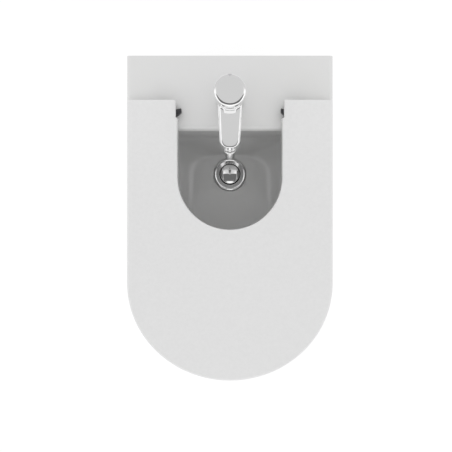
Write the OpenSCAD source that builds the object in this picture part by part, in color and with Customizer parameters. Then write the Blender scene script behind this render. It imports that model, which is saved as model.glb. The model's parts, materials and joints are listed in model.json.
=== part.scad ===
// Floor-standing bidet with a cut-out cover, single-lever tap and pop-up waste.
// Millimetres. +Z is up, the wall is towards +Y, the user's side is towards -Y.
// The origin is on the floor, in the middle of the ceramic body's width and depth.

/* [Ceramic body] */
// Width of the body at the rim
body_w = 350; // [335:1:370]
// Depth of the body from the wall to the front of the rim
body_d = 550; // [530:1:580]
// Height of the rim and of the tap deck above the floor
body_h = 400; // [390:1:420]
// Width of the body at the floor
foot_w = 244; // [230:1:260]
// Thickness of the ceramic walls
wall = 11; // [9:0.5:13]
// Thickness of the tap deck and of the rim
deck_t = 14; // [12:0.5:17]
// Height of the upright part of the foot, below the flare of the sides
foot_h = 60; // [55:1:80]
// Height at which the sides reach their full width
flare_h = 330; // [300:1:350]
// Radius of the outer edge of the rim
rim_round = 6; // [3:0.5:8]

/* [Bowl] */
// Width of the rim between the bowl and the outer edge
rim_w = 38; // [34:1:42]
// Distance from the wall to the rear wall of the bowl
bowl_back = 127; // [126:1:134]
// Depth of the bowl at the waste, below the rim
bowl_depth = 176; // [160:1:184]
// Rise of the bowl's floor towards the front
floor_rise = 22; // [10:1:30]
// Radius of the lip around the bowl
bowl_lip = 6; // [3:0.5:8]
// Radius of the bowl's rear corners, seen from above
bowl_corner = 45; // [30:1:60]
// Distance from the wall to the centre of the waste
drain_back = 189; // [185:1:193]
// Radius of the overflow hole in the rear wall of the bowl
overflow_r = 11; // [8:0.5:12]
// Depth of the overflow hole's centre below the rim
overflow_drop = 48; // [46:1:60]
// Width of the overflow passage
passage_w = 28; // [26:1:34]
// Depth of the overflow passage
passage_d = 12; // [9:0.5:14]

/* [Cover] */
// Gap between the cover's edge and the outer edge of the rim, seen from above
cover_inset = 4; // [2:0.5:8]
// Length of the cover's rounded front, from where its sides start to curve
cover_nose = 162; // [155:0.5:171]
// Distance from the wall to the rear edge of the cover
cover_back = 79; // [77:0.5:81]
// Height of the cover's lower edge above the rim
cover_gap = 3; // [2:0.5:5]
// Height of the cover's side, from its lower edge to its top
cover_t = 25; // [25:0.5:30]
// Thickness of the cover's top
cover_top = 4.5; // [3:0.5:5]
// Thickness of the cover's sides
cover_side = 4; // [3:0.5:5]
// Radius of the cover's upper edge
cover_round = 3; // [1:0.5:4]
// Width of the cut-out around the tap
cut_w = 174; // [170:1:180]
// Distance from the rear edge of the cover to the centre of the cut-out's round end
cut_len = 129; // [120:1:140]
// Extra width of the cut-out at the hinges, on each side
cut_relief = 3; // [1:0.5:4]
// Radius of the rubber buffers
buffer_r = 6.5; // [5:0.5:8]

/* [Hinges] */
// Distance from the rear edge of the cover to the hinge axis
hinge_in = 10; // [9.5:0.25:11]
// Height of the hinge axis above the deck
hinge_up = 14; // [13.5:0.25:15]
// Distance from the side of the cut-out to the middle of each hinge
hinge_off = 21; // [19:1:26]
// Radius of the hinge pins
pin_r = 3; // [2.5:0.25:3.5]
// Radius of the boss around each hinge pin
boss_r = 5.5; // [5:0.25:5.75]
// Thickness of the hinge base on the deck
base_t = 5; // [4:0.5:6]
// How far the left hinge's toe reaches into the cut-out
toe_left = 6.5; // [3:0.5:8]
// How far the right hinge's toe reaches into the cut-out
toe_right = 2.5; // [1:0.5:6]
// Radius of the studs through the deck
hinge_stud_r = 4; // [3:0.25:4.5]
// Radius of the hinge holes in the deck
hinge_hole_r = 6.5; // [5.5:0.25:8]
// Length of the studs below the deck
hinge_stud_len = 34; // [26:1:44]

/* [Tap] */
// Distance from the wall to the tap's axis
tap_back = 79; // [78:0.5:80]
// Radius of the tap hole in the deck
tap_hole_r = 17.5; // [17:0.25:18.5]
// Distance from the tap's axis to the centre of the tap hole, towards the wall
tap_hole_off = 6; // [5:0.25:7]
// Radius of the tap's body at the top
tap_r = 23; // [22.5:0.25:24]
// Radius of the tap's body at the base
tap_foot_r = 21.5; // [20.5:0.25:23]
// Height of the top of the tap's body above the deck
tap_h = 76; // [74:1:80]
// Radius of the cartridge
cart_r = 17.5; // [17:0.25:18]
// Width of the spout
spout_w = 36; // [33:1:38]
// How much wider the spout is on each side at the tap's axis than at its tip
spout_flare = 3.2; // [0:0.2:4]
// Distance from the tap's axis to the tip of the spout
spout_len = 88; // [84:1:94]
// Radius of the handle's cap
cap_r = 25.5; // [24.5:0.25:27]
// Height of the cap's top above the body of the tap
cap_rise = 37; // [35:0.5:40]
// Radius of the cap's upper edge
cap_round = 5.3; // [4:0.1:6]
// Width of the lever
lever_w = 29.6; // [26:0.5:33]
// How much wider the lever is on each side at the tap's axis than at its tip
lever_flare = 3; // [0:0.2:4]
// Distance from the tap's axis to the tip of the lever
lever_len = 87; // [80:1:94]
// Thickness of the lever
lever_t = 7; // [5:0.5:8]
// Radius of the dome under the cap
dome_r = 24; // [23.5:0.25:24.5]
// Gap between the dome and the cap
dome_gap = 0.6; // [0.4:0.1:1]
// Radius of the swivel ball of the nozzle
ball_r = 9; // [8.5:0.25:9.5]
// Radius of the nozzle's outlet end
nozzle_r = 8.2; // [7.5:0.1:8.6]
// Length of the nozzle beyond the collar
nozzle_len = 17.3; // [14:0.5:20]
// Radius of the tap's fixing stud
stud_r = 4; // [3:0.25:4.25]
// Radius of each water inlet
inlet_r = 4.5; // [4:0.25:4.75]
// Length of the water inlets below the deck
inlet_len = 46; // [35:1:60]

/* [Pop-up waste] */
// Radius of the waste flange
flange_r = 31.5; // [30:0.5:33]
// Radius of the waste's threaded tube
tube_r = 20.9; // [20.5:0.1:21.5]
// Radius of the plug
plug_r = 18.3; // [17.8:0.1:18.4]
// Height of the open plug above the closed one
plug_lift = 7; // [5:0.5:8]
// Radius of the lift rod and of the pivot rod
rod_r = 2.5; // [2:0.1:2.6]
// Lean of the lift rod from upright, in degrees
rod_lean = 11.2; // [10.6:0.1:11.4]
// Distance from the waste's axis to the ball of the pivot rod
pivot_arm = 25; // [24.8:0.1:26]
// Depth of the pivot rod's ball below the bowl at the waste
pivot_drop = 78; // [76:1:80]
// Radius of the pivot rod's ball
pivot_ball_r = 5.5; // [5:0.1:5.6]

/* [Trap] */
// Radius of the waste pipes
pipe_r = 16; // [15:0.25:16]
// Thickness of the waste pipes
pipe_t = 1.5; // [1:0.25:2]
// Radius of the bottle trap
trap_r = 31; // [29:0.5:34]
// Depth of the outlet pipe's axis below the bowl at the waste
outlet_drop = 146; // [144:1:147]

/* [Floor fixing] */
// Distance from the wall to the side fixing holes
fix_back = 125; // [100:1:150]
// Height of the side fixing holes above the floor
fix_z = 34; // [28:1:38]
// Radius of the floor holes in the brackets
bracket_hole_r = 3.25; // [2.5:0.25:4]

/* [Hidden] */
$fn = 64;
// Overlap of a cutting shape past the face that it cuts
eps = 1;
// Gap between a piece and the seat that it rests on
seat_gap = 0.3;
// Radial gap of a running fit and of a thread
fit = 0.05;

// Places
rear_y = body_d / 2;
rim_r = body_w / 2;
foot_r = foot_w / 2;
arc_y = rim_r - body_d / 2;
tap_y = rear_y - tap_back;
drain_y = rear_y - drain_back;
bowl_r = rim_r - rim_w;
bowl_y = rear_y - bowl_back;
bowl_z = body_h - bowl_depth;
under_z = body_h - deck_t;
hole_y = tap_y + tap_hole_off;
cut_r = cut_w / 2;
hinge_x = cut_r + hinge_off;
pivot_z = bowl_z - pivot_drop;
outlet_z = bowl_z - outlet_drop;

// A way from 0 to 1 that starts and ends level
function ease(t) = t <= 0 ? 0 : t >= 1 ? 1 : t * t * (3 - 2 * t);
// Half the body's width at a height
function side_r(z) = foot_r + (rim_r - foot_r) * ease((z - foot_h) / (flare_h - foot_h));
// Points of an arc from angle a to angle b
function arc(cx, cy, r, a, b, n) =
  [for (i = [0:n]) let (t = a + (b - a) * i / n) [cx + r * cos(t), cy + r * sin(t)]];
// The same list from its last item to its first
function backwards(list) = [for (i = [len(list) - 1:-1:0]) list[i]];
// An outline from the axis out and back, completed by its mirror image
function both_sides(pts) = concat(pts, [for (p = backwards(pts)) if (p[0] > 0) [-p[0], p[1]]]);

// A half profile swept round the front
module front_sweep(pts) {
  rotate([0, 0, 180]) rotate_extrude(angle = 180, $fn = 96) polygon(pts);
}
// A half profile swept straight, from the front arc's centre back to the rear
module side_sweep(pts, centre_y, back_y) {
  translate([0, back_y, 0]) rotate([90, 0, 0]) linear_extrude(back_y - centre_y) polygon(both_sides(pts));
}
module d_sweep(pts, centre_y, back_y) {
  translate([0, centre_y, 0]) front_sweep(pts);
  side_sweep(pts, centre_y, back_y);
}
// An outline in Y and Z, extruded across X
module across(width) {
  translate([-width / 2, 0, 0]) rotate([90, 0, 90]) linear_extrude(width) children();
}
// A round bar along X, from x0 to x1
module bar_x(x0, x1, y, z, r) {
  translate([x0, y, z]) rotate([0, 90, 0]) cylinder(h = x1 - x0, r = r);
}
// A round bar along Y, from y0 to y1
module bar_y(y0, y1, z, r) {
  translate([0, y1, z]) rotate([90, 0, 0]) cylinder(h = y1 - y0, r = r);
}
// A ring with a hole, from z0 to z1
module ring(z0, z1, r_in, r_out) {
  translate([0, 0, z0]) difference() {
    cylinder(h = z1 - z0, r = r_out);
    translate([0, 0, -eps]) cylinder(h = z1 - z0 + 2 * eps, r = r_in);
  }
}
// The same piece on the left and on the right
module pair() {
  children();
  mirror([1, 0, 0]) children();
}
// A block from one corner to the opposite one
module block(a, b) {
  translate(a) cube(b - a);
}

// Ceramic body
flare_n = 12;
flare_pts = [for (i = [0:flare_n]) let (z = foot_h + (flare_h - foot_h) * i / flare_n) [side_r(z), z]];
module outer_form() {
  rim = arc(rim_r - rim_round, body_h - rim_round, rim_round, 0, 90, 4);
  d_sweep(concat([[0, 0], [foot_r, 0]], flare_pts, rim, [[0, body_h]]), arc_y, rear_y);
}
module inner_hollow() {
  flare = [for (p = flare_pts) [p[0] - wall, p[1]]];
  top = [[rim_r - wall, under_z], [0, under_z]];
  d_sweep(concat([[0, -eps], [foot_r - wall, -eps]], flare, top), arc_y, rear_y + eps);
}
bowl_flat = 47;
bowl_turn_z = bowl_z + 86;
bowl_draft = 5;
// The swept trough lies this far below the sloping floor that cuts it
trough_drop = 2;
// The bowl's space, grown by g on every side below the rim
module bowl_form(g, lip) {
  run = bowl_r - bowl_draft + g - bowl_flat;
  fall = bowl_turn_z - bowl_z + trough_drop + g;
  low = [for (a = [90:-10:0]) [bowl_flat + run * cos(a), bowl_turn_z - fall * sin(a)]];
  edge_z = body_h - bowl_lip;
  rim = lip ? arc(bowl_r + bowl_lip, edge_z, bowl_lip, 180, 90, 4) : [[bowl_r + g, under_z + eps]];
  top_z = lip ? body_h + eps : under_z + eps;
  top = lip ? [[bowl_r + bowl_lip, top_z], [0, top_z]] : [[0, top_z]];
  intersection() {
    d_sweep(concat([[0, bowl_turn_z - fall]], low, rim, top), arc_y, bowl_y + g + bowl_lip + eps);
    across(body_w) polygon(bowl_side(g, lip));
    translate([0, 0, bowl_z - 2 * wall]) linear_extrude(bowl_depth + 3 * wall)
      bowl_plan(g + (lip ? bowl_lip : 0));
  }
}
// Rear wall of the bowl, seen from the side: each point's place from its top edge, and its depth
back_line = [[0, 64], [-4, bowl_depth - 61], [-13, bowl_depth - 26], [-20, bowl_depth - 8],
  [-24, bowl_depth]];
function bowl_side(g, lip) = concat(
  [[-rear_y, body_h + eps], [-rear_y, bowl_z + floor_rise - g], [drain_y - flange_r - 6, bowl_z - g]],
  [for (p = backwards(back_line)) [bowl_y + p[0] + g, body_h - p[1] - (p[1] == bowl_depth ? g : 0)]],
  lip ? arc(bowl_y + bowl_lip, body_h - bowl_lip, bowl_lip, 180, 90, 4) : [],
  [[bowl_y + (lip ? bowl_lip : g), body_h + eps]]);
module bowl_plan(g) {
  half = bowl_r + g;
  r = bowl_corner;
  translate([-half, -rear_y]) square([2 * half, bowl_y + g - r + rear_y]);
  translate([r - half, 0]) square([2 * (half - r), bowl_y + g]);
  for (s = [-1, 1]) translate([s * (half - r), bowl_y + g - r]) circle(r);
}
// Passage behind the rear wall of the bowl, from the overflow hole down to the waste
passage_top = body_h - overflow_drop + overflow_r + 8;
passage_low = bowl_z - 29;
passage_h = 15;
passage_foot = back_line[len(back_line) - 1][0];
waste_r = tube_r + 1.6;
// The rear wall's line below the overflow hole, moved back by d
function wall_line(d) = [for (p = back_line) if (p[1] > overflow_drop) [bowl_y + p[0] + d, body_h - p[1]]];
function passage_pts(near, far, grow) = concat(
  [[bowl_y + near, passage_top + grow], [bowl_y + far, passage_top + grow]],
  wall_line(far),
  [[bowl_y + far + passage_foot, passage_low - grow], [drain_y, passage_low - grow]],
  [[drain_y, passage_low + passage_h + grow], [bowl_y + near + passage_foot, passage_low + passage_h + grow]],
  backwards(wall_line(near)));
boss_low = passage_low - wall;
boss_out = waste_r + 14;
flange_seat = bowl_z - 2;
hinge_stud_x = hinge_x - 11;
hinge_stud_y = tap_y - 16;
// At both hinge studs, from height z
module at_studs(z) {
  pair() translate([hinge_stud_x, hinge_stud_y, z]) children();
}
module ceramic_body() color("white") difference() {
  union() {
    difference() {
      outer_form();
      inner_hollow();
    }
    bowl_form(wall, false);
    across(passage_w + 2 * wall - 4) polygon(passage_pts(wall - 3, wall + passage_d + wall - 2, wall - 2));
    translate([0, drain_y, boss_low]) cylinder(h = bowl_z - boss_low - 3, r = boss_out);
  }
  bowl_form(0, true);
  across(passage_w) polygon(passage_pts(wall, wall + passage_d, 0));
  bar_y(bowl_y - 3 * eps, bowl_y + wall + passage_d / 2, body_h - overflow_drop, overflow_r);
  translate([0, drain_y, boss_low - eps]) cylinder(h = bowl_depth, r = waste_r);
  translate([0, drain_y, flange_seat]) cylinder(h = bowl_depth / 2, r = flange_r + 0.8);
  translate([0, hole_y, under_z - eps]) cylinder(h = deck_t + 2 * eps, r = tap_hole_r);
  at_studs(under_z - eps) cylinder(h = deck_t + 2 * eps, r = hinge_hole_r);
  pair() bar_x(foot_r - wall - eps, foot_r + eps, fix_y, fix_z, side_screw_r + 0.6);
  pair() bar_x(foot_r - side_head_t - 0.5, foot_r + eps, fix_y, fix_z, side_head_r + 0.5);
}
module overflow_ring() color("gainsboro") translate([0, bowl_y, body_h - overflow_drop]) rotate([90, 0, 0]) {
  ring(0, 1.8, overflow_r - 2, overflow_r + 3);
  ring(-wall + 1, 0, overflow_r - 2, overflow_r - fit);
}

// Cover
cover_r = rim_r - cover_inset;
cover_arc_y = cover_inset + cover_nose - body_d / 2;
cover_y = rear_y - cover_back;
cover_z = body_h + cover_gap;
cover_top_z = cover_z + cover_t;
plate_z = cover_top_z - cover_top;
cut_y = cover_y - cut_len;
axis_y = cover_y - hinge_in;
axis_z = body_h + hinge_up;
// Rear skirt is cut up to here, so that it passes over the deck when the cover swings
skirt_z = axis_z - 6;
// The hinges' part of the cut-out starts this far in front of their axis
relief_len = 20;
// Cut-out in the cover, seen from above, grown by g
module cut_plan(g) {
  wide = cut_r + cut_relief + g;
  relief_y = axis_y - relief_len - g;
  translate([0, cut_y]) circle(cut_r + g, $fn = 96);
  translate([-cut_r - g, cut_y]) square([2 * (cut_r + g), cover_y - cut_y + eps]);
  translate([-wide, relief_y]) square([2 * wide, cover_y - relief_y + eps]);
}
// The cover's front is a little fuller than a round one
module cover_sweep(pts, back_y) {
  translate([0, cover_arc_y, 0]) scale([1, cover_nose / cover_r, 1]) front_sweep(pts);
  side_sweep(pts, cover_arc_y, back_y);
}
module cover() color("white") difference() {
  edge = arc(cover_r - cover_round, cover_top_z - cover_round, cover_round, 0, 90, 4);
  cover_sweep(concat([[0, cover_z], [cover_r, cover_z]], edge, [[0, cover_top_z]]), cover_y);
  difference() {
    hollow = cover_r - cover_side;
    low_z = cover_z - eps;
    cover_sweep([[0, low_z], [hollow, low_z], [hollow, plate_z], [0, plate_z]], cover_y - cover_side);
    translate([0, 0, cover_z - 2 * eps]) linear_extrude(cover_t) cut_plan(cover_side);
  }
  translate([0, 0, cover_z - eps]) linear_extrude(cover_t + 2 * eps) cut_plan(0);
  block([-body_w, cover_y - 2 * cover_side, cover_z - eps], [body_w, cover_y + eps, skirt_z]);
  pair() block([cut_r - eps, axis_y - relief_len, cover_z - eps],
    [hinge_x + base_half + 2, cover_y + eps, plate_z]);
}
module buffer() {
  translate([0, 0, body_h + seat_gap]) cylinder(h = 7, r1 = buffer_r - 1, r2 = buffer_r);
  translate([0, 0, body_h + 7]) cylinder(h = plate_z - body_h - 7, r = buffer_r - 2);
}
module cover_buffers() color("lightgray") {
  mid = (rim_r + bowl_r) / 2;
  pair() translate([mid, bowl_y - 90, 0]) buffer();
  pair() translate([mid * cos(50), arc_y - mid * sin(50), 0]) buffer();
}

// Hinges
arm_in = 12.7;
arm_lug = 7.4;
arm_t = 7;
arm_len = 34;
arm_screw_r = 2;
arm_head_t = 2.5;
lug_half = 5;
// At the two screws of an arm, from height z
module at_arm_screws(z) {
  for (s = [-1, 1]) translate([hinge_x + s * arm_in * 0.55, axis_y - arm_len + 10, z]) children();
}
module hinge_arm() difference() {
  union() {
    for (x = [hinge_x - arm_in, hinge_x + arm_in - arm_lug]) {
      bar_x(x, x + arm_lug, axis_y, axis_z, boss_r);
      block([x, axis_y - boss_r, axis_z], [x + arm_lug, axis_y + boss_r, plate_z]);
    }
    block([hinge_x - arm_in, axis_y - arm_len, plate_z - arm_t],
      [hinge_x + arm_in, axis_y - boss_r + fit, plate_z]);
  }
  bar_x(hinge_x - arm_in - eps, hinge_x + arm_in + eps, axis_y, axis_z, pin_r + fit);
  at_arm_screws(plate_z - arm_t - eps) cylinder(h = arm_t + 2 * eps, r = arm_screw_r + fit);
}
module hinge_arm_left() color("gainsboro") mirror([1, 0, 0]) hinge_arm();
module hinge_arm_right() color("gainsboro") hinge_arm();
module hinge_arm_screws() color("silver") pair() at_arm_screws(plate_z - arm_t - arm_head_t) {
  cylinder(h = arm_head_t, r = 3.6);
  cylinder(h = arm_t + arm_head_t, r = arm_screw_r);
}
module hinge_pins() color("silver") pair()
  bar_x(hinge_x - arm_in - 1, hinge_x + arm_in + 1, axis_y, axis_z, pin_r);
base_half = 15;
stud_depth = base_t - 1;
module hinge_base(toe) difference() {
  base_in = hinge_x - base_half;
  toe_in = cut_r - toe;
  toe_back = axis_y - 4;
  toe_front = toe_back - 12.5;
  union() {
    block([base_in, axis_y - 18, body_h], [hinge_x + base_half, axis_y + 6, body_h + base_t]);
    bar_x(hinge_x - lug_half, hinge_x + lug_half, axis_y, axis_z, boss_r);
    block([hinge_x - lug_half, axis_y - boss_r, body_h], [hinge_x + lug_half, axis_y + boss_r, axis_z]);
    translate([0, 0, body_h]) linear_extrude(base_t + 5)
      polygon([[base_in + eps, toe_back], [toe_in, toe_back], [toe_in, toe_back - 8], [toe_in + 4, toe_front],
        [base_in + eps, toe_front]]);
  }
  bar_x(hinge_x - lug_half - eps, hinge_x + lug_half + eps, axis_y, axis_z, pin_r + fit);
  translate([hinge_stud_x, hinge_stud_y, body_h - eps])
    cylinder(h = stud_depth + eps, r = hinge_stud_r + fit);
}
module hinge_base_left() color("dimgray") mirror([1, 0, 0]) hinge_base(toe_left);
module hinge_base_right() color("dimgray") hinge_base(toe_right);
module hinge_studs() color("silver") at_studs(under_z - hinge_stud_len)
  cylinder(h = hinge_stud_len + deck_t + stud_depth - 0.2, r = hinge_stud_r);
hinge_washer_t = 8;
// Part of the rubber washer that centres it in the deck's hole
washer_spigot = 5;
module hinge_rubber_washers() color("dimgray") at_studs(under_z - hinge_washer_t) difference() {
  union() {
    cylinder(h = hinge_washer_t, r = hinge_hole_r + 5.5);
    cylinder(h = hinge_washer_t + washer_spigot, r = hinge_hole_r - seat_gap);
  }
  translate([0, 0, -eps]) cylinder(h = hinge_washer_t + washer_spigot + 2 * eps, r = hinge_stud_r + fit);
}
wing_nut_t = 11;
module hinge_wing_nuts() color("gainsboro") at_studs(under_z - hinge_washer_t - wing_nut_t) difference() {
  union() {
    cylinder(h = wing_nut_t, r = hinge_stud_r + 4);
    for (a = [20, 200]) rotate([0, 0, a]) block([5, -1.5, 0], [15, 1.5, wing_nut_t - 2]);
  }
  translate([0, 0, -eps]) cylinder(h = wing_nut_t + 2 * eps, r = hinge_stud_r + fit);
}

// Tap
gasket_t = 2;
escutcheon_t = 4;
tap_z = body_h + gasket_t + escutcheon_t;
tap_top = body_h + tap_h;
pivot_up = tap_top - 10;
ring_r = tap_foot_r + 1.5;
ring_y = tap_y + 3;
// Lift rod: it leans back from the tap hole, and its own frame starts at the deck
rod_y = hole_y + tap_hole_r - rod_r - 1;
module rod_frame() {
  translate([0, rod_y, body_h]) rotate([-rod_lean, 0, 0]) children();
}
module at_tap(y) {
  translate([0, y, 0]) children();
}
stud_y = hole_y - tap_hole_r + stud_r + 1;
inlet_x = 11.5;
inlet_y = hole_y + 1.5;
module tap_holes(z0, z1) {
  translate([0, stud_y, z0]) cylinder(h = z1 - z0, r = stud_r + fit);
  pair() translate([inlet_x, inlet_y, z0]) cylinder(h = z1 - z0, r = inlet_r + fit);
}
module rod_hole(r) {
  rod_frame() translate([0, 0, -30]) cylinder(h = 90, r = r);
}
module tap_gasket() color("dimgray") difference() {
  translate([0, ring_y, body_h]) cylinder(h = gasket_t, r = ring_r - 0.5);
  tap_holes(body_h - eps, body_h + gasket_t + eps);
  rod_hole(rod_r + 0.3);
}
module tap_base_ring() color("gainsboro") difference() {
  translate([0, ring_y, body_h + gasket_t]) cylinder(h = escutcheon_t, r1 = ring_r, r2 = ring_r - 1);
  tap_holes(body_h, tap_z + eps);
  rod_hole(rod_r + 0.3);
}
// Lean of the nozzle from straight down, towards the front
nozzle_tilt = 45;
nozzle_y = tap_y - 78;
nozzle_z = body_h + tap_h - 16;
module nozzle_frame() {
  translate([0, nozzle_y, nozzle_z]) rotate([180 - nozzle_tilt, 0, 0]) children();
}
collar_r = 11.3;
collar_in = 4;
collar_out = 7;
bore_z = tap_top - 46;
// Ports between the inlets and the cartridge
port_x = 6;
port_in_r = 3;
thread_r = ball_r + 1.6;
// A bar along -Y seen from above: half its width at the tip, its extra half width at the axis, its length
// and the radius of its corners
module tongue_plan(half, flare, len, r) {
  tip = tap_y - len;
  polygon([[-half - flare, tap_y], [-half, tip + r], [half, tip + r], [half + flare, tap_y]]);
  translate([r - half, tip]) square([2 * (half - r), len]);
  for (s = [-1, 1]) translate([s * (half - r), tip + r]) circle(r);
}
// Seen from the side: a level top, a face square to the nozzle and an underside that rises to it
module spout() intersection() {
  tip = tap_y - spout_len;
  face = nozzle_y + nozzle_z - collar_in * sqrt(2) + seat_gap;
  low = nozzle_z - 12.7;
  translate([0, 0, body_h]) linear_extrude(tap_h) tongue_plan(spout_w / 2, spout_flare, spout_len, 11);
  across(2 * tap_r) polygon([[tap_y, tap_top], [tip + 4, tap_top], [tip, tap_top - 4], [tip, face - tip],
    [face - low, low], [tap_y - 52, tap_top - 34], [tap_y - 18, bore_z + 2], [tap_y, bore_z]]);
}
// Rear guide of the lift rod
guide_top = 40;
web_t = 5;
inlet_depth = 12;
channel_w = 8;
module tap_body() color("gainsboro") difference() {
  union() {
    translate([0, tap_y, tap_z]) cylinder(h = tap_h - gasket_t - escutcheon_t, r1 = tap_foot_r, r2 = tap_r);
    spout();
    intersection() {
      rod_frame() translate([0, 0, -20]) cylinder(h = guide_top + 20, r = rod_r + 3);
      block([-20, tap_y, tap_z], [20, tap_y + 60, tap_top]);
    }
    across(web_t) polygon([[tap_y, tap_z], [rod_y + 1, tap_z],
      [rod_y + guide_top * sin(rod_lean), body_h + guide_top - 3], [tap_y, body_h + guide_top + 8]]);
  }
  translate([0, tap_y, bore_z]) cylinder(h = tap_h, r = cart_r + fit);
  rod_hole(rod_r + fit);
  tap_holes(tap_z - eps, tap_z + inlet_depth);
  pair() hull() {
    translate([inlet_x, inlet_y, tap_z + inlet_depth - 1]) cylinder(h = 1, r = port_in_r, $fn = 24);
    translate([port_x, tap_y + 2, bore_z + 1]) cylinder(h = 1, r = port_in_r, $fn = 24);
  }
  across(channel_w) polygon([[tap_y - 12, bore_z + 3], [tap_y - 12, bore_z + 3 + channel_w],
    [nozzle_y + 2, nozzle_z + 5], [nozzle_y + 2, nozzle_z - 3]]);
  nozzle_frame() translate([0, 0, -ball_r - 1]) cylinder(h = 60, r = thread_r + fit);
}
module nozzle_collar() color("gainsboro") nozzle_frame() difference() {
  union() {
    translate([0, 0, -ball_r]) cylinder(h = ball_r + collar_in, r = thread_r);
    translate([0, 0, collar_in]) cylinder(h = collar_out - collar_in, r = collar_r);
  }
  sphere(ball_r + 0.1, $fn = 96);
  translate([0, 0, -ball_r - eps]) cylinder(h = ball_r + eps, r = ball_r + 0.1);
  cylinder(h = 20, r1 = neck_r - 1.4, r2 = neck_r + 10.6);
}
// Plastic seat behind the ball: it turns with the nozzle, and the ball tilts in it
module nozzle_seat() color("ivory") nozzle_frame() difference() {
  translate([0, 0, -ball_r - 0.7]) cylinder(h = ball_r - 2.3, r = ball_r + fit);
  sphere(ball_r + 0.1, $fn = 96);
  translate([0, 0, -ball_r - 2]) cylinder(h = 20, r = 5);
}
// Nozzle: a ball in the collar, a neck that leaves room to swing, and a tapering barrel
neck_r = 6;
barrel_z = collar_out + 3.4;
nozzle_end = collar_out + nozzle_len;
aerator_t = 8;
nozzle_wall = 1.2;
module nozzle() color("gainsboro") nozzle_frame() difference() {
  union() {
    intersection() {
      sphere(ball_r, $fn = 96);
      translate([0, 0, -5]) cylinder(h = 40, r = 2 * ball_r);
    }
    cylinder(h = barrel_z + 1, r = neck_r);
    translate([0, 0, barrel_z]) cylinder(h = nozzle_end - barrel_z, r1 = nozzle_r + 2, r2 = nozzle_r);
  }
  translate([0, 0, -ball_r]) cylinder(h = ball_r + nozzle_end + eps, r = 4);
  translate([0, 0, nozzle_end - aerator_t]) cylinder(h = aerator_t + eps, r = nozzle_r - nozzle_wall);
}
module nozzle_aerator() color("dimgray") nozzle_frame() difference() {
  low = nozzle_end - aerator_t - eps;
  translate([0, 0, low + eps]) cylinder(h = aerator_t - 0.8, r = nozzle_r - nozzle_wall - fit);
  for (i = [0:5]) rotate([0, 0, 60 * i]) translate([3.6, 0, low])
    cylinder(h = 2 * aerator_t, r = 0.9, $fn = 16);
  translate([0, 0, low]) cylinder(h = 2 * aerator_t, r = 1.2, $fn = 16);
}

// Cartridge and handle
neck_out = 12.5;
turret_r = 9.9;
stem_w = 8;
neck_top = tap_top - 3;
shoulder_z = tap_top - 12.5;
turret_z = pivot_up - 13.7;
module cartridge_housing() color("lightsteelblue") at_tap(tap_y) difference() {
  union() {
    translate([0, 0, bore_z]) cylinder(h = shoulder_z - bore_z, r = cart_r);
    translate([0, 0, bore_z]) cylinder(h = neck_top - bore_z, r = neck_out);
  }
  translate([0, 0, turret_z - seat_gap]) cylinder(h = 40, r = turret_r + fit);
  pair() translate([port_x, 2, bore_z - eps]) cylinder(h = 8, r = port_in_r);
  block([-channel_w / 2, -30, bore_z + 3], [channel_w / 2, -8, bore_z + 3 + channel_w]);
}
module cartridge_nut() color("tan") at_tap(tap_y) difference() {
  ring(shoulder_z, tap_top - 5, neck_out + fit, cart_r);
  for (i = [0:5]) rotate([0, 0, 60 * i]) translate([cart_r, 0, tap_top - 7]) cylinder(h = 4, r = 2);
}
module cartridge_turret() color("ivory") at_tap(tap_y) difference() {
  translate([0, 0, turret_z]) cylinder(h = neck_top - turret_z - 0.5, r = turret_r);
  block([-stem_w / 2 - 0.15, -20, turret_z + 2], [stem_w / 2 + 0.15, 20, tap_top]);
  bar_x(-20, 20, 0, pivot_up, 1.5 + fit / 5);
}
module stem_pin() color("silver") at_tap(tap_y) bar_x(-turret_r + 0.4, turret_r - 0.4, 0, pivot_up, 1.5);
cap_top = tap_top + cap_rise;
stem_top = cap_top - 10;
module cartridge_stem() color("silver") at_tap(tap_y) difference() {
  block([-stem_w / 2, -stem_w / 2, pivot_up - 10], [stem_w / 2, stem_w / 2, stem_top]);
  bar_x(-20, 20, 0, pivot_up, 1.5 + fit);
}
dome_open = 14;
module dome_ring() color("gainsboro") at_tap(tap_y) {
  difference() {
    translate([0, 0, pivot_up]) sphere(dome_r, $fn = 96);
    translate([0, 0, pivot_up]) sphere(dome_r - 2, $fn = 96);
    block([-40, -40, pivot_up - 40], [40, 40, tap_top]);
    translate([0, 0, tap_top]) cylinder(h = 40, r = dome_open);
  }
  intersection() {
    ring(tap_top, tap_top + 1.6, dome_open + 1.5, dome_r);
    translate([0, 0, pivot_up]) sphere(dome_r - 1, $fn = 96);
  }
  ring(tap_top - 4.6, tap_top + 1, dome_open + 1.5, cart_r - fit);
}
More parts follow.
